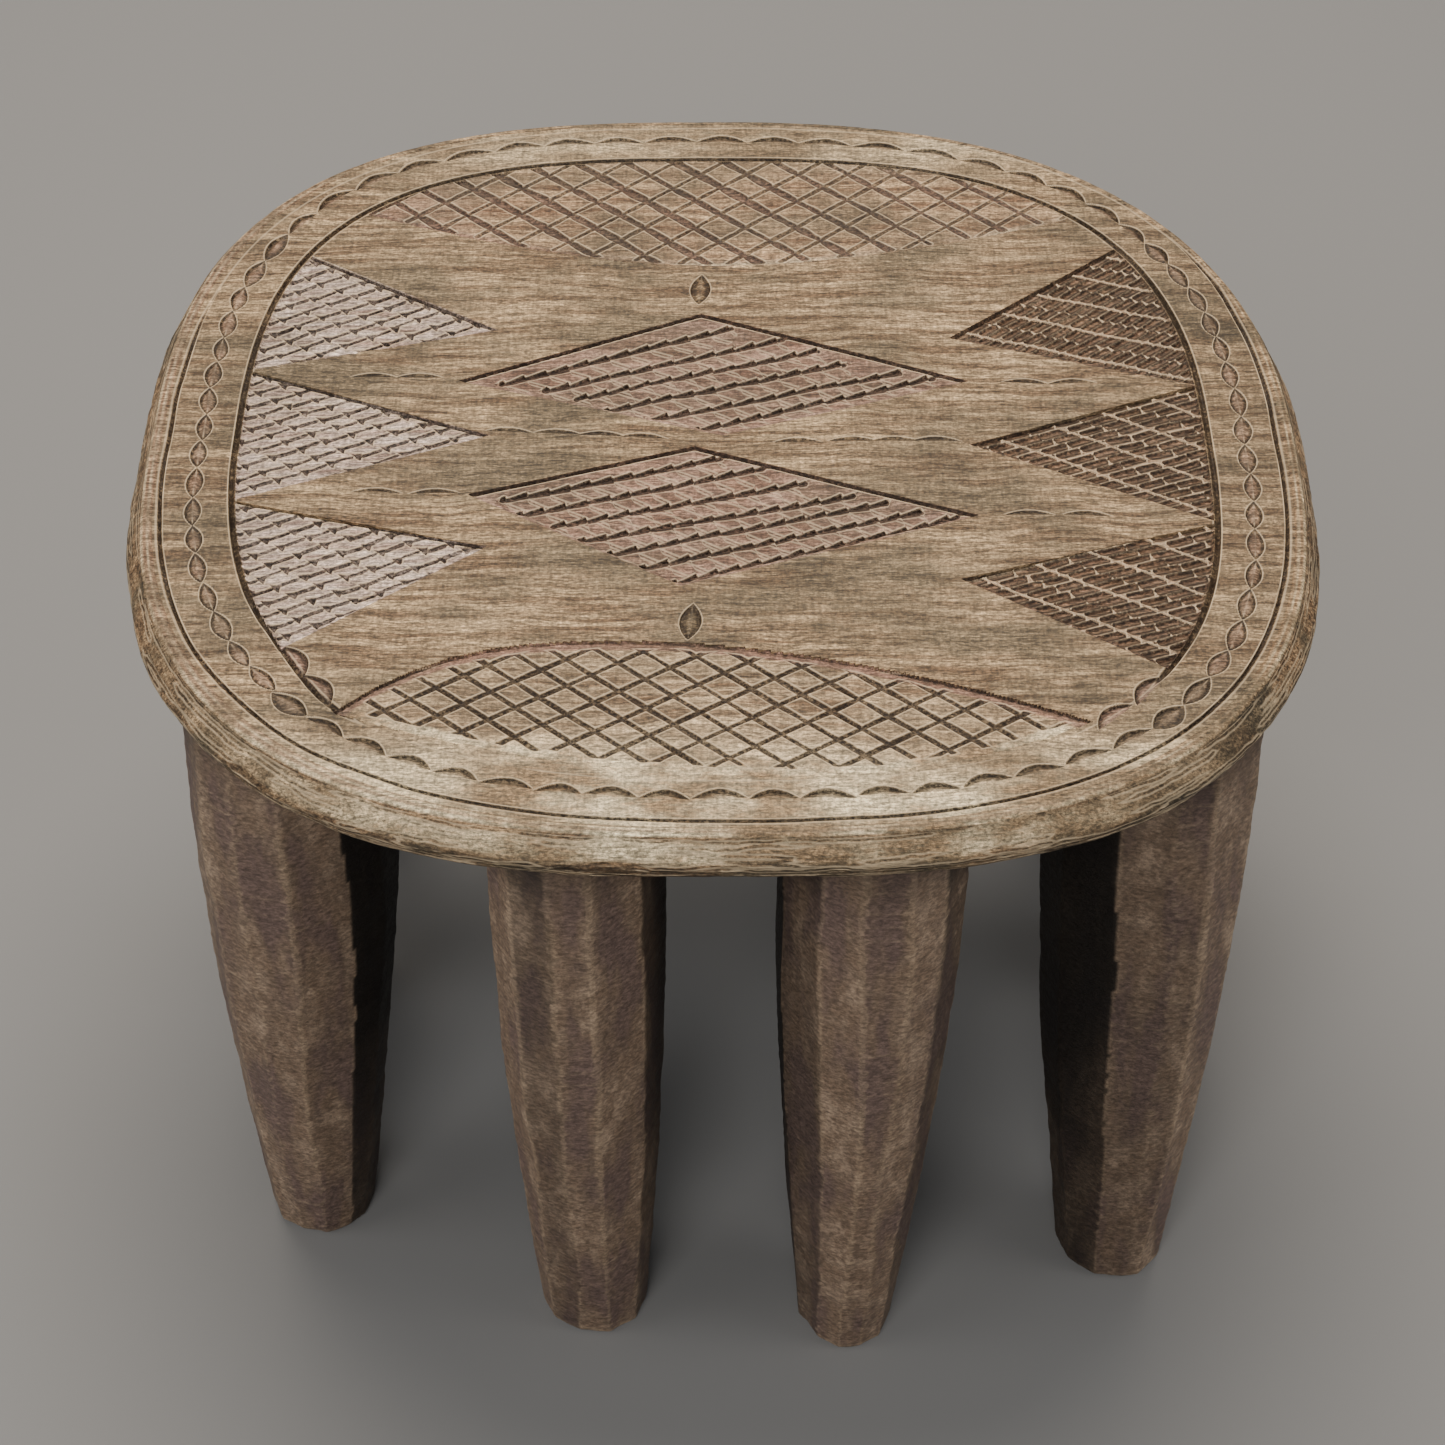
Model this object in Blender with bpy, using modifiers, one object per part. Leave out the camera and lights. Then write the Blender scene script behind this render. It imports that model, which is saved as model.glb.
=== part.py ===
# A low carved stool: a thick slab seat with a rounded rim, cut with sunken fields, on a ring of ten
# tapering legs. Metres, +Z up. The origin is on the floor, under the middle of the seat.

import math

import bmesh
import bpy
from mathutils import Matrix, Vector

# Seat
SEAT_WIDTH = 0.505
SEAT_DEPTH = 0.483
STOOL_HEIGHT = 0.350
SLAB_THICKNESS = 0.024
RIM_ROUND = 0.0095
FAR_LEFT_POWER = 2.9
FAR_RIGHT_POWER = 2.35
NEAR_LEFT_POWER = 2.65
NEAR_RIGHT_POWER = 2.75
OUTLINE_SIDES = 96
RIM_STEPS = 4

# Carving of the seat's top
FIELD_DEPTH = 0.0015
GROOVE_INSET = 0.0385
GROOVE_WIDTH = 0.0030
GROOVE_DEPTH = 0.0018
CUT_OVERRUN = 0.004
LENS_STEPS = 12

# Legs, each an oval that is wider along the line out of the seat's middle
LEG_TOP_RADIAL = 0.092
LEG_TOP_TANGENTIAL = 0.075
LEG_FOOT_RADIAL = 0.048
LEG_FOOT_TANGENTIAL = 0.045
LEG_SIDES = 14
LEG_RINGS = 12
LEG_SWELL = 1.1
FOOT_ROUND = 0.005
FOOT_STEPS = 3
TOUCH_GAP = 0.0003

HALF_WIDTH = SEAT_WIDTH / 2
HALF_DEPTH = SEAT_DEPTH / 2
LEG_LENGTH = STOOL_HEIGHT - SLAB_THICKNESS - TOUCH_GAP

# Corners of the sunken fields, as shares of the seat's half width and half depth
FIELD_CORNER_SHARES = {
    "far_diamond": ((-0.459, 0.165), (0.0, 0.014), (0.436, 0.167), (-0.038, 0.360)),
    "near_diamond": ((-0.428, -0.147), (-0.067, -0.383), (0.428, -0.203), (-0.048, -0.021)),
    "far_left_triangle": ((-0.715, 0.518), (-0.810, 0.209), (-0.396, 0.313)),
    "middle_left_triangle": ((-0.812, 0.186), (-0.812, -0.165), (-0.396, 0.013)),
    "near_left_triangle": ((-0.808, -0.180), (-0.700, -0.537), (-0.388, -0.284)),
    "far_right_triangle": ((0.705, 0.548), (0.398, 0.288), (0.815, 0.156)),
    "middle_right_triangle": ((0.808, 0.144), (0.420, -0.014), (0.800, -0.210)),
    "near_right_triangle": ((0.792, -0.230), (0.388, -0.367), (0.712, -0.592)),
}

# Tip, middle of the upper edge, other tip and middle of the lower edge of the two lens fields
LENS_POINT_SHARES = {
    "far_lens": ((-0.630, 0.643), (0.0, 0.839), (0.640, 0.633), (0.0, 0.499)),
    "near_lens": ((-0.610, -0.689), (-0.040, -0.521), (0.580, -0.711), (0.020, -0.833)),
}

# Middle of each leg under the seat, then on the floor, as shares of the half width and half depth
LEG_PLACE_SHARES = {
    "leg_front_outer_left": ((-0.708, -0.512), (-0.748, -0.578)),
    "leg_front_inner_left": ((-0.234, -0.746), (-0.232, -0.810)),
    "leg_front_inner_right": ((0.242, -0.765), (0.218, -0.843)),
    "leg_front_outer_right": ((0.705, -0.512), (0.711, -0.685)),
    "leg_side_left": ((-0.772, 0.0), (-0.816, 0.0)),
    "leg_side_right": ((0.772, 0.0), (0.816, 0.0)),
    "leg_back_outer_left": ((-0.706, 0.488), (-0.745, 0.560)),
    "leg_back_inner_left": ((-0.236, 0.729), (-0.228, 0.801)),
    "leg_back_inner_right": ((0.238, 0.727), (0.226, 0.795)),
    "leg_back_outer_right": ((0.707, 0.486), (0.742, 0.564)),
}

# Colours
SEAT_COLOUR = (0.22, 0.17, 0.13, 1.0)
LEG_COLOUR = (0.09, 0.06, 0.045, 1.0)


def make_collection(name):
    collection = bpy.data.collections.new(name)
    bpy.context.scene.collection.children.link(collection)
    return collection


def make_wood(name, colour, roughness):
    wood = bpy.data.materials.new(name)
    wood.use_nodes = True
    shader = wood.node_tree.nodes["Principled BSDF"]
    shader.inputs["Base Color"].default_value = colour
    shader.inputs["Roughness"].default_value = roughness
    shader.inputs["Metallic"].default_value = 0.0
    return wood


def add_object(name, mesh_builder, collection):
    mesh = bpy.data.meshes.new(name)
    mesh_builder.to_mesh(mesh)
    mesh_builder.free()
    piece = bpy.data.objects.new(name, mesh)
    collection.objects.link(piece)
    return piece


def corner_power(cosine, sine):
    # Each corner of the hand-cut outline has a fullness of its own
    if sine > 0:
        return FAR_LEFT_POWER if cosine < 0 else FAR_RIGHT_POWER
    return NEAR_LEFT_POWER if cosine < 0 else NEAR_RIGHT_POWER


def outline_point(angle, inset):
    # A point of the seat's rounded-square outline, drawn in by the inset
    across = HALF_WIDTH - inset
    along = HALF_DEPTH - inset
    cosine = math.cos(angle)
    sine = math.sin(angle)
    power = corner_power(cosine, sine)
    spread = abs(cosine / across) ** power + abs(sine / along) ** power
    reach = spread ** (-1 / power)
    return Vector((cosine * reach, sine * reach))


def arc_points(start, middle, end, steps):
    # Points of the curve through three places, without its last point
    points = []
    for step in range(steps):
        share = step / steps
        bend = 4 * share * (1 - share)
        straight = start.lerp(end, share)
        points.append(straight + (middle - start.lerp(end, 1 / 2)) * bend)
    return points


def seat_place(shares):
    return Vector((shares[0] * HALF_WIDTH, shares[1] * HALF_DEPTH))


def make_prism(outline, bottom, height):
    # A disc with one side for each outline point, moved to the outline and drawn up
    prism = bmesh.new()
    bmesh.ops.create_circle(prism, cap_ends=True, segments=len(outline), radius=1)
    prism.verts.ensure_lookup_table()
    for vertex, place in zip(prism.verts, outline):
        vertex.co = Vector((place.x, place.y, bottom))
    lid = bmesh.ops.extrude_face_region(prism, geom=prism.faces[:])
    raised = [item for item in lid["geom"] if isinstance(item, bmesh.types.BMVert)]
    bmesh.ops.translate(prism, verts=raised, vec=(0, 0, height))
    bmesh.ops.recalc_face_normals(prism, faces=prism.faces[:])
    return prism


def add_field_cutter(name, outline, collection):
    height = FIELD_DEPTH + CUT_OVERRUN
    prism = make_prism(outline, STOOL_HEIGHT - FIELD_DEPTH, height)
    return add_object(name, prism, collection)


def add_groove_cutter(name, collection):
    # A ring with a diamond section whose lower corner cuts the groove
    bpy.ops.mesh.primitive_torus_add(
        major_segments=OUTLINE_SIDES,
        minor_segments=4,
        major_radius=2,
        minor_radius=1,
        location=(0, 0, 0),
    )
    ring = bpy.context.object
    ring.name = name
    for other in list(ring.users_collection):
        other.objects.unlink(ring)
    collection.objects.link(ring)
    for vertex in ring.data.vertices:
        angle = math.atan2(vertex.co.y, vertex.co.x)
        outward = vertex.co.xy.length - 2
        inset = GROOVE_INSET - outward * GROOVE_WIDTH / 2
        place = outline_point(angle, inset)
        vertex.co = Vector((place.x, place.y, STOOL_HEIGHT + vertex.co.z * GROOVE_DEPTH))
    return ring


def add_carving(collection):
    for name, shares in FIELD_CORNER_SHARES.items():
        add_field_cutter(name, [seat_place(corner) for corner in shares], collection)
    for name, shares in LENS_POINT_SHARES.items():
        left, upper, right, lower = [seat_place(point) for point in shares]
        outline = arc_points(left, lower, right, LENS_STEPS) + arc_points(right, upper, left, LENS_STEPS)
        add_field_cutter(name, outline, collection)
    add_groove_cutter("border_groove", collection)
    for cutter in collection.objects:
        cutter.hide_render = True
        cutter.display_type = "WIRE"


def add_seat(wood, collection, cutters):
    turn = 2 * math.pi / OUTLINE_SIDES
    outline = [outline_point(turn * side, 0) for side in range(OUTLINE_SIDES)]
    slab = make_prism(outline, STOOL_HEIGHT - SLAB_THICKNESS, SLAB_THICKNESS)
    seat = add_object("seat", slab, collection)
    seat.data.materials.append(wood)
    rim = seat.modifiers.new("rounded_rim", "BEVEL")
    rim.width = RIM_ROUND
    rim.segments = RIM_STEPS
    rim.limit_method = "ANGLE"
    rim.angle_limit = math.radians(60)
    carving = seat.modifiers.new("carving", "BOOLEAN")
    carving.operation = "DIFFERENCE"
    carving.operand_type = "COLLECTION"
    carving.collection = cutters
    carving.solver = "EXACT"
    return seat


def add_leg(name, top, foot, wood, collection):
    # A hewn leg: a faceted cylinder cut into rings, each ring scaled to its height and leaned outwards
    outward = math.atan2(top.y, top.x)
    lean = Matrix.Rotation(-outward, 2) @ (top - foot)
    leg = bmesh.new()
    bmesh.ops.create_cone(leg, cap_ends=True, segments=LEG_SIDES, radius1=1, radius2=1, depth=2)
    for ring in range(1, LEG_RINGS):
        level = 2 * ring / LEG_RINGS - 1
        pieces = leg.verts[:] + leg.edges[:] + leg.faces[:]
        bmesh.ops.bisect_plane(leg, geom=pieces, plane_co=(0, 0, level), plane_no=(0, 0, 1))
    for vertex in leg.verts:
        rise = (vertex.co.z + 1) / 2
        swell = math.sin(rise * LEG_SWELL * math.pi / 2)
        radial = LEG_FOOT_RADIAL + (LEG_TOP_RADIAL - LEG_FOOT_RADIAL) * swell
        tangential = LEG_FOOT_TANGENTIAL + (LEG_TOP_TANGENTIAL - LEG_FOOT_TANGENTIAL) * swell
        vertex.co.x = vertex.co.x * radial / 2 + lean.x * rise
        vertex.co.y = vertex.co.y * tangential / 2 + lean.y * rise
        vertex.co.z = rise * LEG_LENGTH
    sole = min(leg.faces, key=lambda face: face.calc_center_median().z)
    bmesh.ops.bevel(
        leg,
        geom=sole.edges[:],
        offset=FOOT_ROUND,
        offset_type="OFFSET",
        segments=FOOT_STEPS,
        profile=0.5,
        affect="EDGES",
        clamp_overlap=True,
    )
    bmesh.ops.recalc_face_normals(leg, faces=leg.faces[:])
    piece = add_object(name, leg, collection)
    piece.location = (foot.x, foot.y, 0)
    piece.rotation_euler = (0, 0, outward)
    piece.data.materials.append(wood)
    return piece


def build_stool():
    for old in list(bpy.data.objects):
        bpy.data.objects.remove(old, do_unlink=True)
    stool = make_collection("carved_stool")
    cutters = make_collection("cutters")
    seat_wood = make_wood("seat_wood", SEAT_COLOUR, 0.6)
    leg_wood = make_wood("leg_wood", LEG_COLOUR, 0.65)
    add_carving(cutters)
    add_seat(seat_wood, stool, cutters)
    for name, places in LEG_PLACE_SHARES.items():
        add_leg(name, seat_place(places[0]), seat_place(places[1]), leg_wood, stool)


build_stool()
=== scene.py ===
import functools
import math

import bmesh
import bpy
import numpy as np
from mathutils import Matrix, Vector


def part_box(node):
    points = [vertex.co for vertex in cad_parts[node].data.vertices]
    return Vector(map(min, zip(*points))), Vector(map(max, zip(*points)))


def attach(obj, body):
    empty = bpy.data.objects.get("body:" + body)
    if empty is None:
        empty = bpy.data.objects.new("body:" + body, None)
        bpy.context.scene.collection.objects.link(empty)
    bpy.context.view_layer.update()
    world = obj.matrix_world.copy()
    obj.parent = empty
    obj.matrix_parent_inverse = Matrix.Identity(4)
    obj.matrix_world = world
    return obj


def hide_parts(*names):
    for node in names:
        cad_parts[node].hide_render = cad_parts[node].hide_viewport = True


# A low stool carved from one block: the slab's rim, border, ground and sunken fields are modelled as
# one plan of knife cuts, drawn in millimetres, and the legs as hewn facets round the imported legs' axes.

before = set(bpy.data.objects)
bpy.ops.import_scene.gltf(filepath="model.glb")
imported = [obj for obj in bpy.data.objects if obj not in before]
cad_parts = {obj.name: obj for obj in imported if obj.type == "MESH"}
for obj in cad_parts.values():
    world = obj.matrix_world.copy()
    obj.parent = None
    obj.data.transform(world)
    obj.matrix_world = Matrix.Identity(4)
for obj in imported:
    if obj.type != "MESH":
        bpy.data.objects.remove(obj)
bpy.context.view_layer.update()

mm = 0.001
seatLow, seatHigh = (np.array(corner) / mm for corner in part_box("seat"))

seatPlan = {
    "top": seatHigh[2],
    "underside": seatLow[2],
    "middleY": -3.5,          # where the carver's cross lines meet, in front of the box's middle
    "panelDepth": 6.0,        # how far the carved panels' walls reach down
    "groundLevel": 0.45,      # the worn ground lies this far under the highest spot
}
seatReach = {
    "right": seatHigh[0],
    "left": -seatLow[0],
    "far": seatHigh[1] - seatPlan["middleY"],
    "near": -seatLow[1] + seatPlan["middleY"],
}


def clamped(value):
    return np.clip(value, 0, 1)


def smoothStep(value, low=0.0, high=1.0):
    share = clamped((value - low) / (high - low))
    return share * share * (3 - 2 * share)


def smoothBand(value, rise, full, fade, end):
    # 1 between full and fade, soft from rise and to end
    return smoothStep(value, rise, full) * (1 - smoothStep(value, fade, end))


hillsAcross = 64              # the noise's square of random hills, which repeats


def softNoise(x, y, cell, seed):
    # soft random hills from -1 to 1, one for each cell of that many millimetres
    hills = np.random.default_rng(seed).uniform(-1, 1, (hillsAcross, hillsAcross))
    x, y = x / cell + 17.3, y / cell + 9.7
    column, row = np.floor(x).astype(int), np.floor(y).astype(int)
    right, up = smoothStep(x - column), smoothStep(y - row)
    column, nextColumn, row, nextRow = (index % hillsAcross for index in (column, column + 1, row, row + 1))
    lower = hills[column, row] * (1 - right) + hills[nextColumn, row] * right
    upper = hills[column, nextRow] * (1 - right) + hills[nextColumn, nextRow] * right
    return lower * (1 - up) + upper * up


# Rings round the seat: insets from the seat's box on the right, left, far and near, the fullness of the
# far right, far left, near left and near right corner, and where the hand strayed, as (degrees, mm)
ringShapes = {
    "outline": {"insets": (0, 0, 0, 0), "fullness": (2.35, 2.9, 2.65, 2.75)},
    "arris": {"insets": (7, 7, 7, 9), "fullness": (2.4, 2.85, 2.6, 2.72)},
    "rimSeam": {"insets": (11.5, 11.5, 9.5, 13), "fullness": (2.45, 2.82, 2.55, 2.7)},
    "edgeGroove": {"insets": (14.5, 14.5, 12, 16.5), "fullness": (2.52, 2.8, 2.52, 2.68)},
    "chain": {"insets": (28, 28.5, 21.5, 30), "fullness": (2.62, 3.1, 2.53, 2.87)},
    "innerGroove": {
        "insets": (43.5, 43.5, 37.2, 38),
        "fullness": (2.75, 3.03, 2.5, 2.8),
        "waver": ((180, 0), (196, -1.1), (208, -1.4), (216, -1.9), (226.6, 4.2), (245, 0)),
    },
    "groundSeam": {
        "insets": (45.2, 45.2, 38.9, 36.5),
        "fullness": (2.75, 3.03, 2.5, 2.8),
        "waver": ((180, 0), (196, -1.1), (208, -1.4), (216, -1.5), (226.6, 6.5), (238, 3), (250, 0)),
    },
}


ringSteps = 8 * 360           # points of a ring
strayBlur = 3                 # degrees over which a stray of the hand is softened


def makeRing(shape):
    angles = np.linspace(0, 2 * math.pi, ringSteps + 1)
    cosine, sine = np.cos(angles), np.sin(angles)
    right, left, far, near = (seatReach[side] - inset for side, inset in zip(seatReach, shape["insets"]))
    farRight, farLeft, nearLeft, nearRight = shape["fullness"]
    across = np.where(cosine > 0, right, left)
    along = np.where(sine > 0, far, near)
    power = np.where(sine > 0, np.where(cosine > 0, farRight, farLeft), np.where(cosine > 0, nearRight, nearLeft))
    radius = (np.abs(cosine / across) ** power + np.abs(sine / along) ** power) ** (-1 / power)
    places, strays = zip(*shape.get("waver", ((0, 0),)))
    for turn in (-strayBlur, 0, strayBlur):
        radius = radius + np.interp(np.degrees(angles) + turn, places, strays, period=360) / 3
    slope = np.gradient(radius, angles)
    travel = np.hypot(radius, slope)
    run = np.concatenate(([0], np.cumsum((travel[1:] + travel[:-1]) / 2 * np.diff(angles))))
    return {"angles": angles, "radius": radius, "slant": radius / travel, "run": run}


rings = {name: makeRing(shape) for name, shape in ringShapes.items()}


def ringRadius(name, angle):
    return np.interp(angle % (2 * math.pi), rings[name]["angles"], rings[name]["radius"])


def ringDistance(name, x, y):
    # how far outside the ring a point lies, square to it
    angle = np.arctan2(y, x) % (2 * math.pi)
    slant = np.interp(angle, rings[name]["angles"], rings[name]["slant"])
    return (np.hypot(x, y) - ringRadius(name, angle)) * slant


def ringPoint(name, angle, push=0.0):
    radius = ringRadius(name, angle) + push
    return np.stack((np.cos(angle) * radius, np.sin(angle) * radius), -1)


# Knife and gouge cuts. Each gives its depth, and how far inside the cut a point lies, both in millimetres.
cutReach = 3.0                # distances from a cut are kept up to here
latticeLuck = 67              # so many strays are drawn each way along a lattice, then they repeat
rowLuck = 97                  # and so many along a row of strokes, teeth or chips


def startCarving(x):
    away = np.full_like(x, -cutReach)
    return {"depth": np.zeros_like(x), "knife": away, "gouge": away.copy(), "fresh": np.zeros_like(x)}


def addCut(carving, kind, cut):
    depth, inside = cut
    carving["depth"] = np.maximum(carving["depth"], depth)
    carving[kind] = np.maximum(carving[kind], np.clip(inside, -cutReach, cutReach))


def lineCoordinates(x, y, start, end):
    # how far along a line and how far to its left each point lies, and the line's length
    run, rise = end[0] - start[0], end[1] - start[1]
    length = math.hypot(run, rise)
    along = ((x - start[0]) * run + (y - start[1]) * rise) / length
    left = ((y - start[1]) * run - (x - start[0]) * rise) / length
    return along, left, length


def turned(x, y, degrees):
    cosine, sine = math.cos(math.radians(degrees)), math.sin(math.radians(degrees))
    return x * cosine + y * sine, y * cosine - x * sine


def knifeCut(along, left, length, width, depth, lean=0.0, taper=1.0):
    # a V, narrow and shallow at both ends; lean moves its bottom towards the left side
    half = width / 2
    ends = np.clip((length / 2 - np.abs(along)) / (width * taper), -2, 1)
    offset = left - lean * half
    wall = 1 - np.abs(offset) / np.where(offset > 0, half * (1 - lean), half * (1 + lean))
    share = wall - (1 - ends)
    return depth * clamped(share) ** 0.85, share * half


def triangleCut(x, y, corners, depth):
    # a stab with three walls
    inside = np.minimum.reduce([
        lineCoordinates(x, y, start, end)[1] for start, end in zip(corners, corners[1:] + corners[:1])
    ])
    return depth * clamped(inside / 0.75), inside


def gougeCut(along, across, length, bow, depth, outer, inner, fill):
    # two bowed stabs back to back: steep at the bows, rising to a ridge in the middle; a side that is
    # left out has a share of nearly nothing, and fill says how far the dirt and painted shade spread in from the
    # bow
    reach = bow * (1 - (2 * along / length) ** 2)
    share = clamped(np.abs(across) / np.maximum(reach, 0.05))
    side = np.where(across > 0, outer, inner)
    inside = reach - np.abs(across)
    wall = clamped(inside / 0.6 + 0.2) * (reach > 0)
    cut = depth * side * share ** 1.2 * wall * smoothStep(reach, -0.1, bow * 0.3)
    inside = np.where(inside > 0, inside / fill, inside)
    return cut, np.where(side < 0.2, -cutReach, inside)


def ringCut(name, x, y, width, depth, present, lean=0.0):
    half = width / 2
    offset = ringDistance(name, x, y) - lean * half
    wall = 1 - np.abs(offset) / np.where(offset > 0, half * (1 - lean), half * (1 + lean))
    wall = np.maximum(wall, -3) - (1 - present) * 1.2
    return depth * clamped(wall) ** 0.85, wall * half


def aroundShare(x, y, rise, full, fade, end):
    # the soft band over directions from the middle, in degrees
    degrees = np.degrees(np.arctan2(y, x))
    degrees = np.where(degrees < rise, degrees + 360, degrees)
    return smoothBand(degrees, rise, full, fade, end)


# The gouged chain: length of a mark by direction in degrees, then double marks and single ones
chain = {
    "pitch": ((0, 18), (40, 20), (58, 24.5), (122, 24.5), (142, 21), (160, 18.2), (214, 18.5), (236, 20.5),
              (304, 20.5), (325, 19), (360, 18)),
    "bow": 3.5,
    "singleBow": 4.9,
    "singleShift": 1.9,
    "depth": 1.25,
    "singleDepth": 1.9,
}


def chainEnds():
    # where one mark of the chain stops and the next begins, as a run along the ring
    ring = rings["chain"]
    places, pitches = zip(*chain["pitch"])
    stray = np.random.default_rng(5)
    ends = [0.0]
    while ends[-1] < ring["run"][-1]:
        angle = np.degrees(np.interp(ends[-1], ring["run"], ring["angles"]))
        ends.append(ends[-1] + np.interp(angle, places, pitches) * stray.uniform(0.92, 1.08))
    return np.array(ends) * ring["run"][-1] / ends[-1]


chainMarks = chainEnds()


def chainCuts(x, y):
    ring = rings["chain"]
    angle = np.arctan2(y, x) % (2 * math.pi)
    run = np.interp(angle, ring["angles"], ring["run"])
    mark = np.clip(np.searchsorted(chainMarks, run) - 1, 0, len(chainMarks) - 2)
    start, end = chainMarks[mark], chainMarks[mark + 1]
    markAngle = np.degrees(np.interp((start + end) / 2, ring["run"], ring["angles"]))
    nearSide = smoothBand(markAngle, 217, 228, 314, 324)
    farSide = smoothBand(markAngle, 26, 42, 136, 158)
    single = np.maximum(nearSide, farSide)
    stray = np.random.default_rng(8).uniform(-1, 1, (len(chainMarks), 4))[mark]
    shift = chain["singleShift"] * (nearSide - farSide) + stray[:, 0] * 0.4
    bow = (chain["bow"] + (chain["singleBow"] - chain["bow"]) * single) * (1 + stray[:, 1] * 0.1)
    depth = chain["depth"] + (chain["singleDepth"] - chain["depth"]) * np.maximum(nearSide, farSide * 0.8)
    along = run - (start + end) / 2
    across = ringDistance("chain", x, y) - shift - stray[:, 3] * 0.05 * along
    fill = 1.2 + nearSide * 2.2 + farSide * 2.0
    return gougeCut(along, across, (end - start) - 0.3, bow, depth * (1 + stray[:, 2] * 0.15),
                    1 - nearSide * 0.97, 1 - farSide * 0.97, fill)


# Single marks on the ground: middle, degrees of turn
groundMarks = {
    "crescents": ((-153, 45, 0), (-133, 45, 0), (-92, 8, -4), (-71, 7, -4), (-52, 5.5, -4), (-34, 4, -5),
                  (-146, -31.5, -3), (-122, -32, 2), (133, 41, -5), (153, 41, 2), (32, 1, 2), (56, 2, 0),
                  (74, 2, 0), (92, 2, -2), (128.5, -46, 0), (153, -46.5, -3)),
    "leaves": ((-10, 108, 86), (-13, -110.5, 84)),
    "cornerScallops": ((-171.5, -133, -58), (-160.5, -149, -53), (154.5, -164.5, 44), (169.5, -150, 52)),
    "crescentSize": (21, 2.9, 1.2),       # length, bow and depth
    "leafSize": (21.5, 4.4, 1.4),
    "scallopSize": (21, 6.2, 1.8),
}


def addGroundMarks(carving, x, y):
    # crescents with a steep far side, leaves cut from both sides, and the deep scallops of the near corners
    for kind, size in (("crescents", "crescentSize"), ("leaves", "leafSize"), ("cornerScallops", "scallopSize")):
        length, bow, depth = groundMarks[size]
        for middleX, middleY, turn in groundMarks[kind]:
            close = (np.abs(x - middleX) < length) & (np.abs(y - middleY) < length)
            lean = math.radians(turn)
            towards = (middleX + math.cos(lean), middleY + math.sin(lean))
            along, left, _ = lineCoordinates(x[close], y[close], (middleX, middleY), towards)
            if kind == "crescents":
                cut = gougeCut(along, left - 0.5, length, bow, depth, 1.0, 0.15, 3.2)
            elif kind == "leaves":
                cut = gougeCut(along, left, length, bow, depth, 1.0, 1.0, 2.6)
            else:
                cut = gougeCut(along, left + 1.5, length, bow, depth, 1.0, 0.1, 2.2)
                carving["fresh"][close] = np.maximum(carving["fresh"][close], smoothStep(cut[1], -0.2, 0.5))
            carving["depth"][close] = np.maximum(carving["depth"][close], cut[0])
            inside = np.clip(cut[1], -cutReach, cutReach)
            carving["gouge"][close] = np.maximum(carving["gouge"][close], inside)


def seatSwell(x, y):
    # the hewn top isn't flat: broad hollows, then the flats left by the blade along the grain
    broad = 0.26 * softNoise(x, y, 90, 1) + 0.10 * softNoise(x, y, 30, 2)
    fine = 0.035 * softNoise(x, y * 2.5, 12, 3) + 0.02 * softNoise(x, y * 4, 4, 4)
    return broad + fine - seatPlan["groundLevel"]


def seatPaleAndDark(x, y):
    # paler towards the near and far borders, darker on the right side, in the left middle and in patches
    near = smoothStep(-y, 158, 212) * (0.75 + 0.3 * softNoise(x, y * 2, 30, 12))
    far = smoothStep(y, 185, 222) * 0.38
    right = smoothStep(x, 150, 215) * 0.5 * (1 - smoothStep(-y, 120, 190))
    left = smoothStep(-x, 110, 225) * 0.3 * (1 - smoothStep(-y, 60, 150))
    patchy = 0.3 * smoothStep(softNoise(x, y * 1.8, 62, 13) + 0.6 * softNoise(x, y * 2.5, 20, 14), -0.1, 0.8)
    return clamped(near + far), clamped(right + left + patchy * (1 - near))


def topCarving(x, y):
    # everything that is cut into the top but the sunken fields, and the state of the wood
    carving = startCarving(x)
    waver = softNoise(x, y, 26, 11) * 0.5
    grooveShare = aroundShare(x, y, 152, 166, 385, 398)
    innerShare = 1 - aroundShare(x, y, 226, 231, 318, 322)
    addCut(carving, "knife", ringCut("edgeGroove", x + waver, y + waver, 2.0, 1.35, grooveShare, -0.35))
    addCut(carving, "knife", ringCut("innerGroove", x + waver * 0.4, y + waver * 0.4, 2.9, 1.75, innerShare, 0.3))
    chainCut = chainCuts(x, y)
    addCut(carving, "gouge", chainCut)
    carving["fresh"] = np.maximum(carving["fresh"], 0.55 * smoothStep(chainCut[1], 0.3, 1.2))
    addGroundMarks(carving, x, y)
    return carving


def bowPoints(start, end, peakShare, rise, fullness, count=20):
    # points of a bow between two tips, peaking at a share of its chord, from start up to but without end
    shares = np.linspace(0, 1, count + 1)
    away = np.where(shares < peakShare, (peakShare - shares) / peakShare, (shares - peakShare) / (1 - peakShare))
    power = np.where(shares < peakShare, fullness[0], fullness[1])
    x = start[0] + (end[0] - start[0]) * shares
    y = start[1] + (end[1] - start[1]) * shares + rise * (1 - away ** power)
    return np.stack((x, y), -1)


def bowHeight(x, start, end, peakShare, rise, fullness):
    points = bowPoints(start, end, peakShare, rise, fullness)
    return np.interp(x, points[:, 0], points[:, 1])


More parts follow.
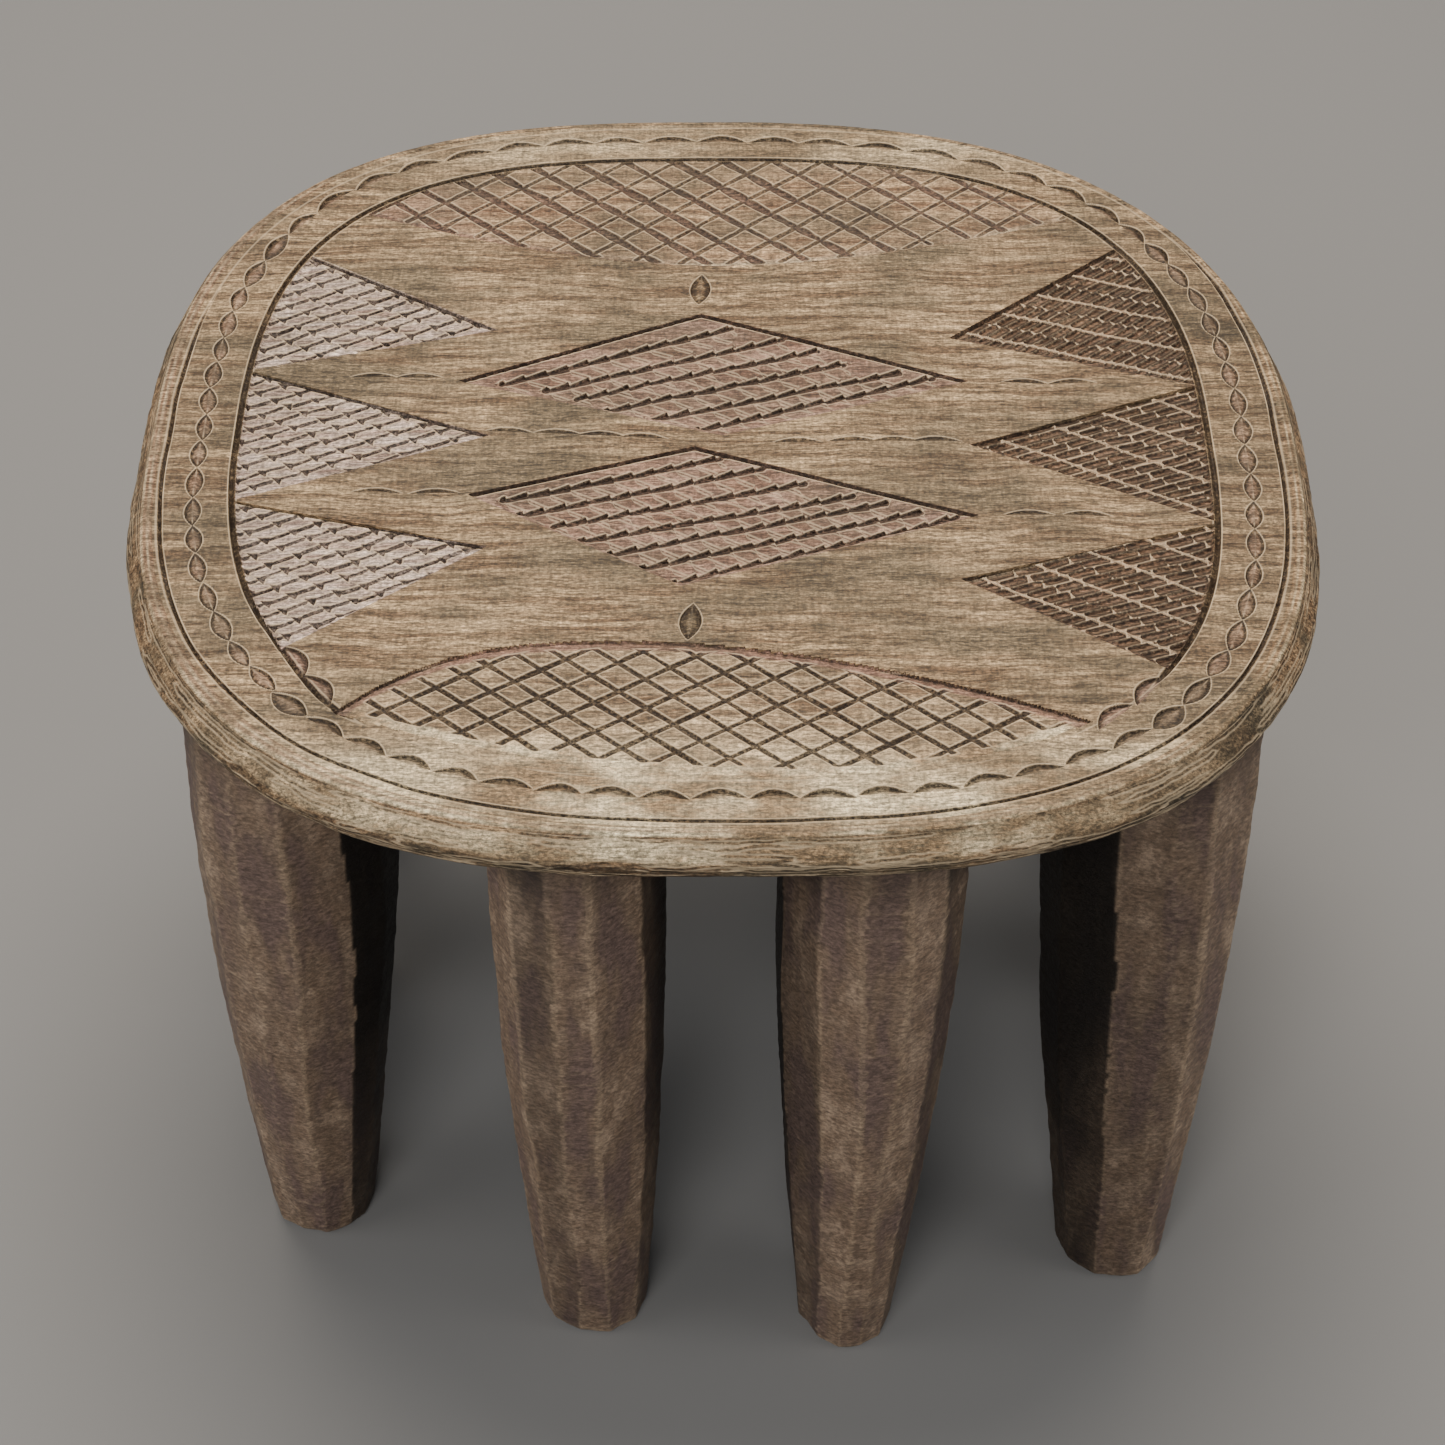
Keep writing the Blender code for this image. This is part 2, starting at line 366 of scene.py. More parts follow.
# Sunken fields: tips of a lens and its bows as (peak share, rise, fullness), or corners anticlockwise and
# the sides that are stop cuts; the other sides are soft, and a triangle's last side is the ring
lensShapes = {
    "farLens": {"tips": ((-160, 160), (160, 160)), "lower": (0.484, -37.5, (1.7, 1.75))},
    "nearLens": {
        "tips": ((-154, -163), (146.5, -168)),
        "lower": (0.579, -32.1, (2.1, 2.15)),
        "upper": (0.4126, 43.0, (3.0, 1.75)),
    },
}
cornerShapes = {
    "farDiamond": {"corners": ((-116, 43.5), (0, 6), (108, 43), (-9.5, 90.5)), "stops": (2, 3)},
    "nearDiamond": {"corners": ((-108, -32), (-17, -89), (108, -45.5), (-12, -1)), "stops": (2, 3)},
    "farLeftTriangle": {"corners": ((-207, 50), (-100, 79), (-183, 130)), "stops": (1,)},
    "middleLeftTriangle": {"corners": ((-204, -35.5), (-100, 6.5), (-206, 49.5)), "stops": (1,)},
    "nearLeftTriangle": {"corners": ((-177, -126), (-98, -65), (-205, -35.5)), "stops": (1,)},
    "farRightTriangle": {"corners": ((178, 137), (100.5, 73), (208, 39.5)), "stops": (0,)},
    "middleRightTriangle": {"corners": ((203, 39.5), (106, 0), (203, -49)), "stops": (0,)},
    "nearRightTriangle": {"corners": ((201, -49), (98, -85), (181, -140)), "stops": (0,)},
}


def onRing(point, push):
    return ringPoint("groundSeam", math.atan2(point[1], point[0]), push)


ringPathStep = 4 / 215        # about 4 mm at the ring's mean radius of 215 mm


def ringPath(start, end, push):
    # points along the ground's outer ring, anticlockwise between two corners
    first = math.atan2(start[1], start[0])
    turn = (math.atan2(end[1], end[0]) - first) % (2 * math.pi)
    count = max(3, int(turn / ringPathStep))
    return ringPoint("groundSeam", first + turn * np.linspace(0, 1, count + 1), push)[1:-1]


def lensTips(shape):
    # a lens without an upper edge of its own ends on the ring
    return [np.array(tip, float) if "upper" in shape else onRing(tip, 0) for tip in shape["tips"]]


def fieldOutline(name, push=0.0):
    # the field's outline, anticlockwise; push moves the side that runs along the ring outwards
    if name in lensShapes:
        shape = lensShapes[name]
        left, right = lensTips(shape)
        lower = bowPoints(left, right, *shape["lower"])
        if "upper" in shape:
            return np.concatenate((lower[:-1], bowPoints(left, right, *shape["upper"])[:0:-1]))
        return np.concatenate((lower, ringPath(right, left, push)))
    corners = [np.array(corner, float) for corner in cornerShapes[name]["corners"]]
    if "Diamond" in name:
        return np.array(corners)
    first, last = onRing(corners[0], push), onRing(corners[2], push)
    return np.concatenate(([first, corners[1], last], ringPath(last, first, push)))


def fieldRooms(name, x, y):
    # distance inside the field from its stop-cut sides, from its soft sides and from the ring; a kind of
    # side that the field doesn't have is far away
    far = np.full_like(x, 99.0)
    if name in lensShapes:
        shape = lensShapes[name]
        left, right = lensTips(shape)
        lower = (y - bowHeight(x, left, right, *shape["lower"])) * 0.95
        if "upper" in shape:
            return (bowHeight(x, left, right, *shape["upper"]) - y) * 0.93, lower, far
        return far, lower, -ringDistance("groundSeam", x, y)
    isDiamond = "Diamond" in name
    corners = cornerShapes[name]["corners"]
    rooms = [lineCoordinates(x, y, start, end)[1] for start, end in zip(corners, corners[1:] + corners[:1])]
    stops, softs = [far], [far]
    for side, room in enumerate(rooms if isDiamond else rooms[:2]):
        (stops if side in cornerShapes[name]["stops"] else softs).append(room)
    ring = far if isDiamond else -ringDistance("groundSeam", x, y)
    return np.minimum.reduce(stops), np.minimum.reduce(softs), ring


def latticePlace(x, y, lattice):
    # steps across and down the lattice, and the gap between two of its rows in mm
    (originX, originY), (ax, ay), (bx, by) = lattice["origin"], lattice["stepA"], lattice["stepB"]
    size = ax * by - ay * bx
    side = ((x - originX) * by - (y - originY) * bx) / size
    down = ((y - originY) * ax - (x - originX) * ay) / size
    return side, down, size / math.hypot(ax, ay)


def stampCuts(carving, x, y, lattice, kinds, stamp):
    # the same cuts at every crossing of a lattice, each copy straying a little from its place
    (originX, originY), (ax, ay), (bx, by) = lattice["origin"], lattice["stepA"], lattice["stepB"]
    side, down, _ = latticePlace(x, y, lattice)
    column, row = np.floor(side).astype(int), np.floor(down).astype(int)
    stray = np.random.default_rng(lattice["seed"]).uniform(-1, 1, (latticeLuck, latticeLuck, 4))
    for across in (-1, 0, 1, 2):
        for along in (-1, 0, 1, 2):
            i, j = column + across, row + along
            luck = stray[i % latticeLuck, j % latticeLuck]
            middleX = originX + i * ax + j * bx + luck[..., 0] * lattice["wander"]
            middleY = originY + i * ay + j * by + luck[..., 1] * lattice["wander"]
            for kind, cut in zip(kinds, stamp(x - middleX, y - middleY, luck)):
                addCut(carving, kind, cut)


def longCuts(x, y, lines):
    # a family of long knife strokes side by side, each wavering in place, width and depth
    originX, originY = lines["origin"]
    along, left = turned(x - originX, y - originY, lines["turn"])
    left = left + softNoise(along, left, 34, lines["seed"]) * 0.6
    number = np.rint(left / lines["spacing"])
    stray = np.random.default_rng(lines["seed"] + 1).uniform(-1, 1, (rowLuck, 2))
    luck = stray[number.astype(int) % rowLuck]
    press = 1 + 0.22 * softNoise(along, number * 40, 13, lines["seed"] + 2) + 0.12 * luck[:, 1]
    offset = left - number * lines["spacing"] - luck[:, 0] * 0.6
    return along, offset, press


# Saw-tooth rows of the two diamonds, as start and end of each row
toothRows = {
    "farDiamond": {
        "rows": (((-97, 42), (5, 82.5)), ((-79, 37.5), (27, 74)), ((-65, 32.5), (43, 66)), ((-52, 24), (54, 57)),
                 ((-35, 17), (78, 50.5)), ((-14, 10.5), (93, 47))),
        "pitch": 9.6,
    },
    "nearDiamond": {
        "rows": (((-93, -35), (0, -7)), ((-86, -44), (18, -14)), ((-72, -51), (36, -23)), ((-60, -60), (56, -31)),
                 ((-47, -68), (70, -35.5)), ((-35, -77), (84, -41)), ((-24, -87), (99, -45))),
        "pitch": 9.2,
    },
    "rise": 1.05,         # how far each tooth's right end stands over the row
    "stab": 1.7,          # depth of the stab under the teeth
    "band": (1.5, 1.9),   # width of the stab at a tooth's left end, and how much it grows to its right end
    "slope": 0.55,        # depth of the chip that runs out to the next row
    "chipRun": 10.5,
}


def toothField(name, x, y):
    carving = startCarving(x)
    rows = toothRows[name]
    stray = np.random.default_rng(21)
    chips = np.zeros_like(x)
    for start, end in rows["rows"]:
        along, left, length = lineCoordinates(x, y, start, end)
        along = along + softNoise(x, y, 14, 31) * 0.9
        left = left + softNoise(x, y, 22, 32) * 0.5
        tooth = along / rows["pitch"] + stray.uniform(0, 1)
        number = np.floor(tooth).astype(int)
        luck = stray.uniform(-1, 1, (rowLuck, 3))[number % rowLuck]
        share = tooth - number
        edge = toothRows["rise"] * (share ** 1.2 * 2 - 1) * (1 + luck[:, 0] * 0.3) + luck[:, 1] * 0.25
        below = edge - left
        band = toothRows["band"][0] + toothRows["band"][1] * share * (1 + 0.3 * luck[:, 2])
        present = smoothBand(along, -2.5, 0.5, length - 1, length + 2)
        stab = toothRows["stab"] * (0.5 + 0.5 * share) * clamped((band - below) / band) ** 0.7
        inside = np.minimum(below + 0.65, (band - below) * 0.9) - (1 - present) * cutReach
        addCut(carving, "knife", (stab * smoothStep(below, -0.2, 0.3) * present, inside))
        slant = (along - np.clip(below, 0, 12) * 0.75) / rows["pitch"]
        fan = (slant - np.floor(slant)) * 0.4 * smoothStep(below, 0, 2)
        crease = np.abs(slant - np.rint(slant)) * rows["pitch"] + np.where((below > 0) & (below < 11), 0, 3)
        addCut(carving, "knife", (np.zeros_like(x), 0.08 - crease * 0.5 - (1 - present) * cutReach))
        chip = toothRows["slope"] * clamped(1 - below / toothRows["chipRun"]) + fan
        chips = np.maximum(chips, chip * (below > -0.2) * present)
    facets = 0.10 * softNoise(*turned(x, y * 2.2, -30), 7, 33)
    carving["depth"] = 0.4 + np.maximum(carving["depth"] + 0.3 * (carving["depth"] > 0), chips) + facets
    carving["fresh"] = 0.3 + 0.3 * softNoise(x, y, 9, 34)
    return carving


# Stabs between overlapping slats in the left triangles
shingles = {
    "farLeftTriangle": {
        "origin": (-189, 117), "stepA": (7.5, -4.4), "stepB": (-10.6, -6.0), "wander": 0.7, "seed": 41},
    "middleLeftTriangle": {
        "origin": (-178, 31), "stepA": (7.3, -4.5), "stepB": (-11, -5.3), "wander": 0.7, "seed": 42},
    "nearLeftTriangle": {
        "origin": (-170, -50), "stepA": (7.1, -4.6), "stepB": (-10.5, -5.2), "wander": 0.7, "seed": 43},
    "stab": ((-2.9, 2.0), (1.9, -2.7), (2.4, 2.1)),
    "stabDepth": 1.5,
    "slat": 0.85,         # how far each slat's free edge stands over its neighbour
}


def shingleField(name, x, y):
    carving = startCarving(x)
    lattice = shingles[name]
    bx, by = lattice["stepB"]
    x, y = x + softNoise(x, y, 16, 44) * 0.8, y + softNoise(x, y, 16, 45) * 0.8
    side, down, _ = latticePlace(x, y, lattice)
    column, row = np.floor(side).astype(int), np.floor(down).astype(int)
    stray = np.random.default_rng(lattice["seed"] + 9).uniform(-1, 1, (latticeLuck, latticeLuck))
    luck = stray[column % latticeLuck, row % latticeLuck]
    tilt = shingles["slat"] * (1 - (side - column)) * (0.85 + 0.3 * luck) + 0.3 * (down - row)

    def stabAndLine(offsetX, offsetY, luck):
        stab = triangleCut(offsetX, offsetY, list(shingles["stab"]), shingles["stabDepth"] + 0.3 * luck[..., 2])
        lineAlong, lineLeft = turned(offsetX - bx / 2, offsetY - by / 2, math.degrees(math.atan2(-by, -bx)))
        line = knifeCut(lineAlong, lineLeft, 12.0, 2.0 + 0.5 * luck[..., 3], 0.9 + 0.25 * luck[..., 2], 0.45)
        return stab, (line[0], line[1] - 0.1)

    stampCuts(carving, x, y, lattice, ("knife", "knife"), stabAndLine)
    carving["depth"] = 0.3 + tilt * 0.8 + carving["depth"] + 0.07 * softNoise(*turned(x, y * 3, 20), 4, 47)
    carving["fresh"] = 0.85 + 0.15 * softNoise(x, y, 8, 46)
    return carving


# Leaf-shaped strokes of the right triangles: their lattice, turn and length
hatches = {
    "farRightTriangle": {
        "origin": (150, 88), "stepA": (4.9, -1.65), "stepB": (8.4, 6.9), "wander": 0.45, "seed": 51,
        "turn": 39.6, "length": 11.4},
    "middleRightTriangle": {
        "origin": (165, 6), "stepA": (5.6, -3.2), "stepB": (11.2, 4.4), "wander": 0.45, "seed": 52,
        "turn": 21.5, "length": 12.8},
    "nearRightTriangle": {
        "origin": (160, -88), "stepA": (5.5, -3.2), "stepB": (11.6, 4.0), "wander": 0.45, "seed": 53,
        "turn": 19.5, "length": 13.0},
}


def hatchField(name, x, y):
    carving = startCarving(x)
    lattice = hatches[name]
    x, y = x + softNoise(x, y, 14, 54) * 0.7, y + softNoise(x, y, 14, 55) * 0.7

    def strokeAndShadow(offsetX, offsetY, luck):
        along, left = turned(offsetX, offsetY, lattice["turn"])
        length = lattice["length"] * (0.95 + 0.05 * luck[..., 2])
        stroke = knifeCut(along, left, length, 4.5 + 0.4 * luck[..., 2], 1.5 + 0.25 * luck[..., 3], 0.5, 0.2)
        shadow = knifeCut(along, left + 0.9, length, 1.5, 1.0, 0.3, 0.5)
        return (stroke[0], stroke[1] / 2 - 0.05), (shadow[0], shadow[1] - 0.1)

    stampCuts(carving, x, y, lattice, ("gouge", "knife"), strokeAndShadow)
    # shaved flats between the rows, broader between every second pair
    _, down, rowGap = latticePlace(x, y, lattice)
    row = down + 0.5
    ridge = np.abs(row - np.rint(row)) * rowGap + 0.5 * (np.rint(row) % 2)
    for kind in ("knife", "gouge"):
        carving[kind] = carving[kind] - cutReach * (1 - smoothStep(ridge, 0.15, 0.6))
    carving["depth"] = 0.35 + carving["depth"] * smoothStep(ridge, 0.1, 0.8) + 0.06 * softNoise(x, y, 3, 56)
    carving["rubbedAndHighlight"] = 0.3 * clamped(1 - ridge / 0.42)
    carving["fresh"] = 0.3 + 0.25 * softNoise(x, y, 9, 57)
    return carving


# Families of long strokes in the lenses: a point on one, turn and spacing
lensLines = {
    "farFalling": {"origin": (-20, 161), "turn": -41.9, "spacing": 15.66, "seed": 61},
    "farRising": {"origin": (-26, 123), "turn": 41.0, "spacing": 15.1, "seed": 64},
    "nearRising": {"origin": (-82.8, -145.2), "turn": 32.6, "spacing": 13.76, "seed": 67},
    "nearFalling": {"origin": (-82.8, -145.2), "turn": -40.2, "spacing": 11.45, "seed": 70},
}


def farLensField(x, y, lowerRoom):
    # worn cross hatching: wide flat strokes that fall to the right, each from one rising stroke to the next
    carving = startCarving(x)
    wear = 1 - 0.55 * smoothStep(x + softNoise(x, y, 30, 65) * 50, 20, 130)
    _, rising, risingPress = longCuts(x, y, lensLines["farRising"])
    _, falling, fallingPress = longCuts(x, y, lensLines["farFalling"])
    swelling = 0.78 + 0.26 * smoothStep(np.abs(rising), 0.5, 3.0) + 0.3 * softNoise(x, y, 11, 60)
    inside = 1.95 * fallingPress * swelling - np.abs(falling) - 0.5 * (1 - wear) + 0.2 * softNoise(x, y, 4, 62)
    carving["fresh"] = 0.15 + 0.7 * smoothStep(inside, -0.3, 0.3)
    depth = 1.1 * clamped(inside / 0.9) * wear
    addCut(carving, "gouge", (depth, np.where(inside > 0, inside / 2.6, inside)))
    inside = 1.15 * risingPress - np.abs(rising) - 0.4 * (1 - wear) + 0.2 * softNoise(x, y, 3, 63)
    depth = 0.8 * clamped(inside / 0.8) * wear
    addCut(carving, "gouge", (depth, np.where(inside > 0, inside / 1.6, inside)))
    edge = 1 - np.abs(lowerRoom - 1.4 + softNoise(x, y, 9, 66) * 0.5) / 1.6
    carving["depth"] = 0.22 + np.maximum(carving["depth"] * smoothStep(lowerRoom, 0.2, 2.6), 0.7 * clamped(edge))
    carving["gouge"] = carving["gouge"] - cutReach * (1 - smoothStep(lowerRoom, 0.5, 2.4))
    carving["fresh"] = carving["fresh"] + 0.5 * smoothStep(-x, 90, 150) + 0.8 * clamped(1 - lowerRoom / 4.5)
    carving["rubbedAndHighlight"] = 0.55 * clamped(1 - np.abs(lowerRoom - 1.6) / 1.8) * smoothStep(x, -60, 0)
    return carving


def nearLensField(x, y, upperRoom, lowerRoom):
    # crisp cross hatching inside a chamfered upper edge and a bevelled lower one
    carving = startCarving(x)
    ragged = softNoise(x, y, 6, 68) * 0.9
    for name in ("nearRising", "nearFalling"):
        along, offset, press = longCuts(x, y, lensLines[name])
        half = 1.4 * press
        ends = np.minimum((upperRoom + ragged - 3.8) / 1.4, (lowerRoom + ragged - 4.6) / 1.6)
        share = np.minimum(1 - np.abs(offset - 0.25) / half, ends)
        addCut(carving, "knife", (1.35 * clamped(share) ** 0.85 * press, share * half - 0.1))
    chamfer = 1.2 * clamped(1 - upperRoom / 5.2)
    bevel = 1.3 * clamped(1 - lowerRoom / 6.2)
    carving["depth"] = 0.28 + carving["depth"] + np.maximum(chamfer, bevel)
    outer = smoothStep(np.abs(x + 25), 70, 105)
    carving["gouge"] = np.where(upperRoom < 1.5, np.minimum(upperRoom, 0.9) - cutReach * (1 - outer), -cutReach)
    carving["fresh"] = 0.1 + 0.9 * (1 - smoothStep(upperRoom, 3.8, 5.4))
    carving["rubbedAndHighlight"] = 0.8 * (1 - smoothStep(lowerRoom + ragged, 4.2, 6.2)) * smoothStep(upperRoom, 4, 8)
    return carving


def fieldCarving(name, x, y):
    # the field's depth under the ground and the state of its wood
    stopRoom, softRoom, ringRoom = fieldRooms(name, x, y)
    ragged = softNoise(x, y, 5, 71) * 0.9
    if name == "farLens":
        carving = farLensField(x, y, softRoom)
    elif name == "nearLens":
        carving = nearLensField(x, y, stopRoom, softRoom)
    else:
        isTooth = "Diamond" in name
        field = toothField if isTooth else shingleField if "Left" in name else hatchField
        carving = field(name, x, y)
        fade = smoothStep(softRoom + ragged, 0.1, 2.4)
        carving["depth"] = carving["depth"] * fade * smoothStep(ringRoom, 0.0, 1.0)
        carving["knife"] = carving["knife"] - cutReach * (1 - smoothStep(softRoom + ragged, 0.2, 1.4))
        width = 2.5 if isTooth else 2.1
        stop = np.minimum(width / 2 - np.abs(stopRoom - width * 0.42), softRoom * 0.3 + 0.4)
        carving["knife"] = np.where(stopRoom < 1.2, -cutReach, carving["knife"])
        carving["depth"] = np.where(stopRoom < 1.2, 0, carving["depth"])
        addCut(carving, "knife", (2.0 * clamped(stop / 0.9), stop - 0.1))
        carving["fresh"] = carving["fresh"] + 0.6 * clamped(1 - softRoom / 3.0)
    edge = np.minimum(np.minimum(stopRoom, softRoom), ringRoom)
    carving["depth"] = carving["depth"] * smoothStep(edge, -0.05, 0.4)
    return carving


# Meshes
def meshFromShape(name, shape):
    mesh = bpy.data.meshes.new(name)
    shape.to_mesh(mesh)
    shape.free()
    return mesh


def shapeFromMesh(mesh):
    shape = bmesh.new()
    shape.from_mesh(mesh)
    bpy.data.meshes.remove(mesh)
    return shape


def meshPoints(mesh):
    points = np.empty(len(mesh.vertices) * 3, np.float32)
    mesh.vertices.foreach_get("co", points)
    return points.reshape(-1, 3).astype(float)


def setMeshPoints(mesh, points):
    mesh.vertices.foreach_set("co", points.astype(np.float32).ravel())
    mesh.update()


def addShares(mesh, name, shares):
    layer = mesh.attributes.new(name, "FLOAT", "POINT")
    layer.data.foreach_set("value", np.asarray(shares, np.float32))


def markCarving(mesh, carving):
    # knife and gouge are raised, so that pieces without them read as far outside any cut
    for kind in ("knife", "gouge"):
        addShares(mesh, kind, np.clip(carving[kind], -cutReach, cutReach) + cutReach)
    addShares(mesh, "fresh", clamped(carving["fresh"]))


def markHollows(mesh, fineRounds, broadRounds):
    # how far the surface round each point stands over it, in mm: dirt and painted shade go into hollows, ridges
    # wear pale
    mesh.update()
    points = meshPoints(mesh)
    count = len(points)
    normals = np.empty(count * 3, np.float32)
    mesh.vertices.foreach_get("normal", normals)
    normals = normals.reshape(-1, 3)
    edges = np.empty(len(mesh.edges) * 2, np.int32)
    mesh.edges.foreach_get("vertices", edges)
    first, second = edges.reshape(-1, 2).T
    meetings = np.maximum(np.bincount(first, minlength=count) + np.bincount(second, minlength=count), 1)
    smoothed = points.copy()
    for step in range(1, broadRounds + 1):
        total = np.stack([
            np.bincount(first, smoothed[second, axis], count) + np.bincount(second, smoothed[first, axis], count)
            for axis in range(3)
        ], -1)
        smoothed = total / meetings[:, None]
        if step in (fineRounds, broadRounds):
            name = "hollow" if step == fineRounds else "broadHollow"
            addShares(mesh, name, ((smoothed - points) * normals).sum(1) / mm)


def cellGrid(name, columns, rows):
    # a flat grid of cells as a mesh, and its points as shares from 0 to 1
    cells = bmesh.new()
    bmesh.ops.create_grid(cells, x_segments=columns, y_segments=rows, size=0.5)
    mesh = meshFromShape(name, cells)
    shares = meshPoints(mesh)[:, :2] + 0.5
    return mesh, shares[:, 0], shares[:, 1]


def roundGrid(name, columns, rows, ring, inset):
    # a square grid pulled to the ring's outline, and its points in mm
    mesh, across, along = cellGrid(name, columns, rows)
    x, y = across * 2 - 1, along * 2 - 1
    angle = np.arctan2(y, x)
    squareReach = 1 / np.maximum(np.maximum(np.abs(np.cos(angle)), np.abs(np.sin(angle))), 1e-9)
    scale = (ringRadius(ring, angle) - inset) / squareReach
    return mesh, x * scale, y * scale


def layFlat(mesh, x, y):
    setMeshPoints(mesh, np.stack((x, y, np.zeros_like(x)), -1) * mm)
    return shapeFromMesh(mesh)


def planPoints(x, y, height):
    # drawing millimetres to the frame's metres
    return np.stack((x, y + seatPlan["middleY"], seatPlan["top"] + height), -1) * mm


def finishPiece(name, shape, material, replaced="seat", sharpDegrees=48):
    bmesh.ops.recalc_face_normals(shape, faces=shape.faces[:])
    mesh = meshFromShape(name, shape)
    mesh.shade_smooth()
    mesh.set_sharp_from_angle(angle=math.radians(sharpDegrees))
    mesh.materials.append(material)
    piece = bpy.data.objects.new(name, mesh)
    bpy.context.scene.collection.objects.link(piece)
    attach(piece, "root")
    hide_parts(replaced)
    print("made", name, len(mesh.polygons), "faces")


def closeBelow(shape, level):
    # walls down from the open edges, and a flat bottom between them
    rim = [edge for edge in shape.edges if edge.is_boundary]
    walls = bmesh.ops.extrude_edge_only(shape, edges=rim)["geom"]
    for item in walls:
        if isinstance(item, bmesh.types.BMVert):
            item.co.z = level
    bottom = [edge for edge in shape.edges if edge.is_boundary]
    bmesh.ops.triangle_fill(shape, use_beauty=False, edges=bottom)


def finishPanel(name, shape, material):
    closeBelow(shape, (seatPlan["top"] - seatPlan["panelDepth"]) * mm)
    finishPiece(name, shape, material)


def faceMiddles(faces):
    return np.array([face.calc_center_median()[:2] for face in faces]).reshape(-1, 2)


outOfReach = 9.0              # in metres, for faces that are already cut


def splitAlong(shape, outline):
    # cuts a flat mesh where the outline's sides run, a plane for each side through the faces near it
    outline = outline * mm
    faces = list(shape.faces)
    middles = faceMiddles(faces)
    for start, end in zip(outline, np.roll(outline, -1, 0)):
        run = end - start
        length = np.hypot(*run)
        away = middles - start
        along, aside = away @ run / length, np.abs(away[:, 0] * run[1] - away[:, 1] * run[0]) / length
        near = np.flatnonzero((along > -2 * mm) & (along < length + 2 * mm) & (aside < 1.5 * mm))
        touched = [faces[index] for index in near]
        edges = list({edge for face in touched for edge in face.edges})
        verts = list({vert for face in touched for vert in face.verts})
        cut = bmesh.ops.bisect_plane(
            shape, geom=verts + edges + touched, dist=1e-5,
            plane_co=(start[0], start[1], 0), plane_no=(run[1], -run[0], 0),
        )
        split = [item for item in cut["geom"] if isinstance(item, bmesh.types.BMFace)]
        middles[near] = outOfReach
        faces.extend(split)
        middles = np.concatenate((middles, faceMiddles(split)))


def dropFaces(shape, outline, inside):
    # takes away the faces inside the outline, or those outside it
    faces = list(shape.faces)
    points = faceMiddles(faces)
    outline = outline * mm
    crossings = np.zeros(len(points), int)
    for start, end in zip(outline, np.roll(outline, -1, 0)):
        spans = (start[1] > points[:, 1]) != (end[1] > points[:, 1])
        if start[1] != end[1]:
            meets = start[0] + (points[:, 1] - start[1]) / (end[1] - start[1]) * (end[0] - start[0])
            crossings += spans & (meets > points[:, 0])
    gone = [faces[index] for index in np.flatnonzero((crossings % 2 == 1) == inside)]
    bmesh.ops.delete(shape, geom=gone, context="FACES")


def carveTop(shape, carvingAt, fineRounds, broadRounds):
    # gives a flat trimmed mesh its carved heights, and marks its cuts, hollows and wear
    mesh = meshFromShape("carving", shape)
    points = meshPoints(mesh)
    x, y = points[:, 0] / mm, points[:, 1] / mm
    carving = carvingAt(x, y)
    setMeshPoints(mesh, planPoints(x, y, np.minimum(seatSwell(x, y) - carving["depth"], -0.02)))
    markCarving(mesh, carving)
    rubbedAndHighlight, soiledAndShaded = seatPaleAndDark(x, y)
    addShares(mesh, "rubbedAndHighlight", np.maximum(rubbedAndHighlight, carving.get("rubbedAndHighlight", 0)))
    addShares(mesh, "soiledAndShaded", soiledAndShaded)
    markHollows(mesh, fineRounds, broadRounds)
    return shapeFromMesh(mesh)


# Materials
def sRgb(text):
    # an sRGB hex colour as linear RGBA
    channels = [int(text[start:start + 2], 16) / 255 for start in (1, 3, 5)]
    linear = [value / 12.92 if value <= 0.04045 else ((value + 0.055) / 1.055) ** 2.4 for value in channels]
    return (*linear, 1.0)


# Nodes by name: type, fixed settings, the inputs that are given in order, and the output that is used
nodeKinds = {
    "place": ("ShaderNodeTexCoord", {}, (), "Object"),
    "mapping": ("ShaderNodeMapping", {}, ("Vector", "Scale"), 0),
    "noise": ("ShaderNodeTexNoise", {}, ("Vector", "Scale", "Detail", "Roughness"), "Fac"),
    "noiseColour": ("ShaderNodeTexNoise", {}, ("Vector", "Scale", "Detail"), "Color"),
    "shift": ("ShaderNodeVectorMath", {"operation": "MULTIPLY_ADD"}, (0, 1, 2), 0),
    "attribute": ("ShaderNodeAttribute", {}, (), "Fac"),
    "mix": ("ShaderNodeMix", {"data_type": "RGBA"}, (0, 6, 7), 2),
    "range": ("ShaderNodeMapRange", {"interpolation_type": "SMOOTHSTEP"},
              ("Value", "From Min", "From Max", "To Min", "To Max"), "Result"),
    "add": ("ShaderNodeMath", {"operation": "ADD"}, (0, 1), 0),
    "multiply": ("ShaderNodeMath", {"operation": "MULTIPLY"}, (0, 1), 0),
    "largest": ("ShaderNodeMath", {"operation": "MAXIMUM"}, (0, 1), 0),
    "shade": ("ShaderNodeHueSaturation", {}, ("Value", "Color"), 0),
    "bump": ("ShaderNodeBump", {}, ("Height", "Strength", "Distance"), 0),
}


def plug(tree, socket, value):
    if isinstance(value, bpy.types.NodeSocket):
        tree.links.new(value, socket)
    else:
        socket.default_value = value


def addNode(tree, name, *values, **settings):
    # a node with its settings and links; gives its output
    kind, fixed, inputs, output = nodeKinds[name]
    node = tree.nodes.new(kind)
    for setting, value in {**fixed, **settings}.items():
        setattr(node, setting, value)
    for socket, value in zip(inputs, values):
        plug(tree, node.inputs[socket], value)
    return node.outputs[output]


def chained(node, name, *values):
    # the values combined one after the other
    return functools.reduce(lambda result, value: node(name, result, value), values)


def startWood(name, attributes):
    # a new material, the function that adds its nodes, the place on the piece and the wanted attributes
    wood = bpy.data.materials.new(name)
    wood.use_nodes = True
    node = functools.partial(addNode, wood.node_tree)
    return wood, node, node("place"), {mark: node("attribute", attribute_name=mark) for mark in attributes}


